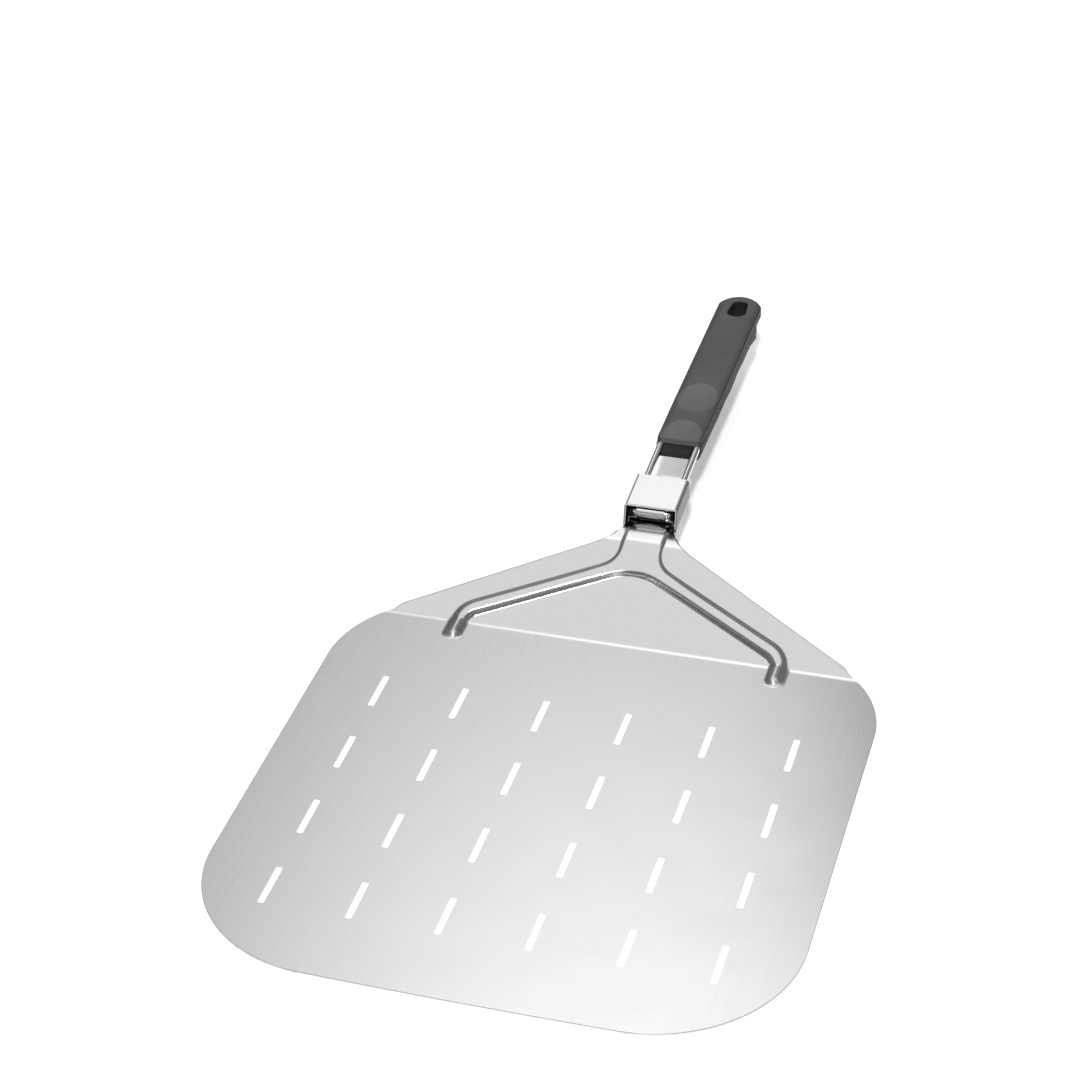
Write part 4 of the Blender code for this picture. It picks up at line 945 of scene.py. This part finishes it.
def belly_outline():
    """The lower shell from the side: nose, smoothed waves of the belly, and the rear end."""
    ys = np.array([p[0] for p in BELLY])[::-1] * MM
    zs = np.array([p[1] for p in BELLY])[::-1] * MM
    above = PARTING + 3 * BELLY_EDGE
    outline = [(NOSE_FRONT, above), (NOSE_FRONT, NOSE_BOTTOM)]
    for y in np.linspace(ys[0], ys[-1], BELLY_POINTS):
        window = np.exp(-(((y - ys) / BELLY_REACH) ** 2)) + 1e-9
        blended = float((window * zs).sum() / window.sum())
        near = float(np.interp(y, ys, zs))
        keep = float(smoothstep(y, *BELLY_SMOOTH_START)) * (1 - float(smoothstep(y, *BELLY_SMOOTH_END)))
        outline.append((y, near + (blended - near) * keep))
    return outline + [(LOWER_END, LOWER_END_BOTTOM), (LOWER_END, above)]


def make_lower_shell():
    """The side profile extruded across, rounded along the belly, and cut away at the rods."""
    curve = flat_curve("lower_shell", [[(y + FRONT_Y, z) for y, z in belly_outline()]], 2 * LOWER_HALF)
    curve.rotation_euler = (math.radians(90), 0, math.radians(90))
    bpy.context.view_layer.update()
    shell = welded(curve)
    shell.data.transform(shell.matrix_world)
    shell.matrix_world = Matrix.Identity(4)
    bevel(shell, BELLY_EDGE, 4, 70, clamp=False)
    applied(shell)
    above = bmesh.new()
    add_block(above, PARTING_CUT, (0, FRONT_Y + PARTING_CUT_MIDDLE, PARTING + PARTING_CUT[2] / 2))
    cut(shell, mesh_object("parting_cut", above))
    for side in (-1, 1):
        way = [leg_frame(side * LEG_X, along, 0) for along in ROD_WAY]
        cut(shell, welded(tube("rod_way", way, WIRE_RADIUS + ROD_GAP)))
    inner, outer = LEG_X - WIRE_RADIUS - ROD_GAP, 2 * LOWER_HALF
    size = (outer - inner, NOSE_SIDES_END - NOSE_SIDES_START, NOSE_SIDES_TALL)
    y = FRONT_Y + (NOSE_SIDES_START + NOSE_SIDES_END) / 2
    z = NOSE_SIDES_BOTTOM + NOSE_SIDES_TALL / 2
    beside = bmesh.new()
    for side in (-1, 1):
        add_block(beside, size, (side * (inner + outer) / 2, y, z))
    cut(shell, mesh_object("beside_rods", beside))
    smooth(shell, 35)
    return finished(shell, DARK, "grip_body", "handle_lower_shell")


# ---------------------------------------------------------------- studio

def make_floor():
    """A plain white floor that the blade lies on."""
    material, _, shader = shader_material("floor_white", (0.93, 0.93, 0.93), 0.8, 0.0)
    shader.inputs["Emission Color"].default_value = (1, 1, 1, 1)
    shader.inputs["Emission Strength"].default_value = FLOOR_GLOW
    bm = bmesh.new()
    bmesh.ops.create_grid(bm, x_segments=1, y_segments=1, size=FLOOR_SIZE)
    bmesh.ops.translate(bm, vec=(0, 0, CAD_BOX[0].z), verts=bm.verts)
    floor = mesh_object("floor", bm)
    floor.data.materials.append(material)


def make_key_light():
    """A square area light that looks at the middle of the part."""
    data = bpy.data.lights.new("key", "AREA")
    data.shape = "RECTANGLE"
    data.size, data.size_y = KEY_SIZE, KEY_SIZE
    data.energy = KEY_POWER
    light = new_object("key", data)
    light.location = KEY_DIRECTION * KEY_DISTANCE
    light.rotation_euler = (-light.location).to_track_quat("-Z", "Y").to_euler()


def make_world():
    """A pale studio: a bright band over the part, from ahead of the camera to behind it, and a ceiling."""
    world = bpy.data.worlds.new("studio")
    world.use_nodes = True
    bpy.context.scene.world = world
    tree = world.node_tree
    background = tree.nodes["Background"]
    background.inputs["Color"].default_value = (1, 1, 1, 1)
    coords = tree.nodes.new("ShaderNodeTexCoord")
    side = tree.nodes.new("ShaderNodeVectorMath")
    side.operation = "DOT_PRODUCT"
    side.inputs[1].default_value = BAND_SIDE
    tree.links.new(coords.outputs["Generated"], side.inputs[0])
    split = tree.nodes.new("ShaderNodeSeparateXYZ")
    tree.links.new(coords.outputs["Generated"], split.inputs["Vector"])
    height = split.outputs["Z"]
    left = ramp(tree, side.outputs["Value"], *BAND_LEFT, BAND_LOW, 1.0)
    right = ramp(tree, side.outputs["Value"], *BAND_RIGHT, 1.0, BAND_LOW)
    band = maths(tree, "MULTIPLY", left, right)
    wall = maths(tree, "MULTIPLY", band, ramp(tree, height, *BAND_CLIMB))
    ceiling = ramp(tree, height, *CEILING_FADE)
    mix = tree.nodes.new("ShaderNodeMix")
    tree.links.new(ceiling, mix.inputs["Factor"])
    tree.links.new(wall, mix.inputs["A"])
    mix.inputs["B"].default_value = CEILING
    tree.links.new(mix.outputs["Result"], background.inputs["Strength"])


def make_camera():
    """The camera at the photograph's angle."""
    data = bpy.data.cameras.new("camera")
    data.sensor_width = SENSOR
    data.lens = LENS
    data.clip_start, data.clip_end = CLIP
    camera = new_object("camera", data)
    right = CAMERA_UP.cross(CAMERA_BACK)
    camera.matrix_world = Matrix((right, CAMERA_UP, CAMERA_BACK)).transposed().to_4x4()
    camera.location = CAMERA_PLACE
    bpy.context.scene.camera = camera


make_camera()
bpy.context.scene.view_settings.view_transform = "Standard"
STEEL = blade_steel("brushed_stainless", (0.66, 0.66, 0.655), 0.15)
SATIN = brushed_steel("satin_stainless", (0.90, 0.90, 0.895), 0.2, ROD_GRAIN, strength=0.01, spread=0.03)
BRIGHT = brushed_steel("bright_rod", (0.78, 0.78, 0.78), 0.16, ROD_GRAIN, strength=0.03, spread=0.03)
SPRING = brushed_steel("spring_strip", (0.45, 0.45, 0.46), 0.34, (60, 1500, 1500))
ZINC = brushed_steel("zinc_plate", (0.58, 0.58, 0.60), 0.36, (800, 800, 800))
GREY = grip_plastic("grey_plastic", (0.085, 0.085, 0.086), 0.5)
DARK = moulded_plastic("dark_plastic", (0.022, 0.020, 0.021), 0.5)
SLEEVE_STEEL = sleeve_steel("sleeve_stainless", (0.77, 0.77, 0.765), 0.24)
for node in ("handle_screw_front", "handle_screw_rear"):
    frame["nodes"][node].data.materials.clear()
    frame["nodes"][node].data.materials.append(ZINC)

make_blade()
make_bracket()
make_wire()
make_sleeve()
make_spring()
make_upper_shell()
make_lower_shell()
make_floor()
make_world()
make_key_light()
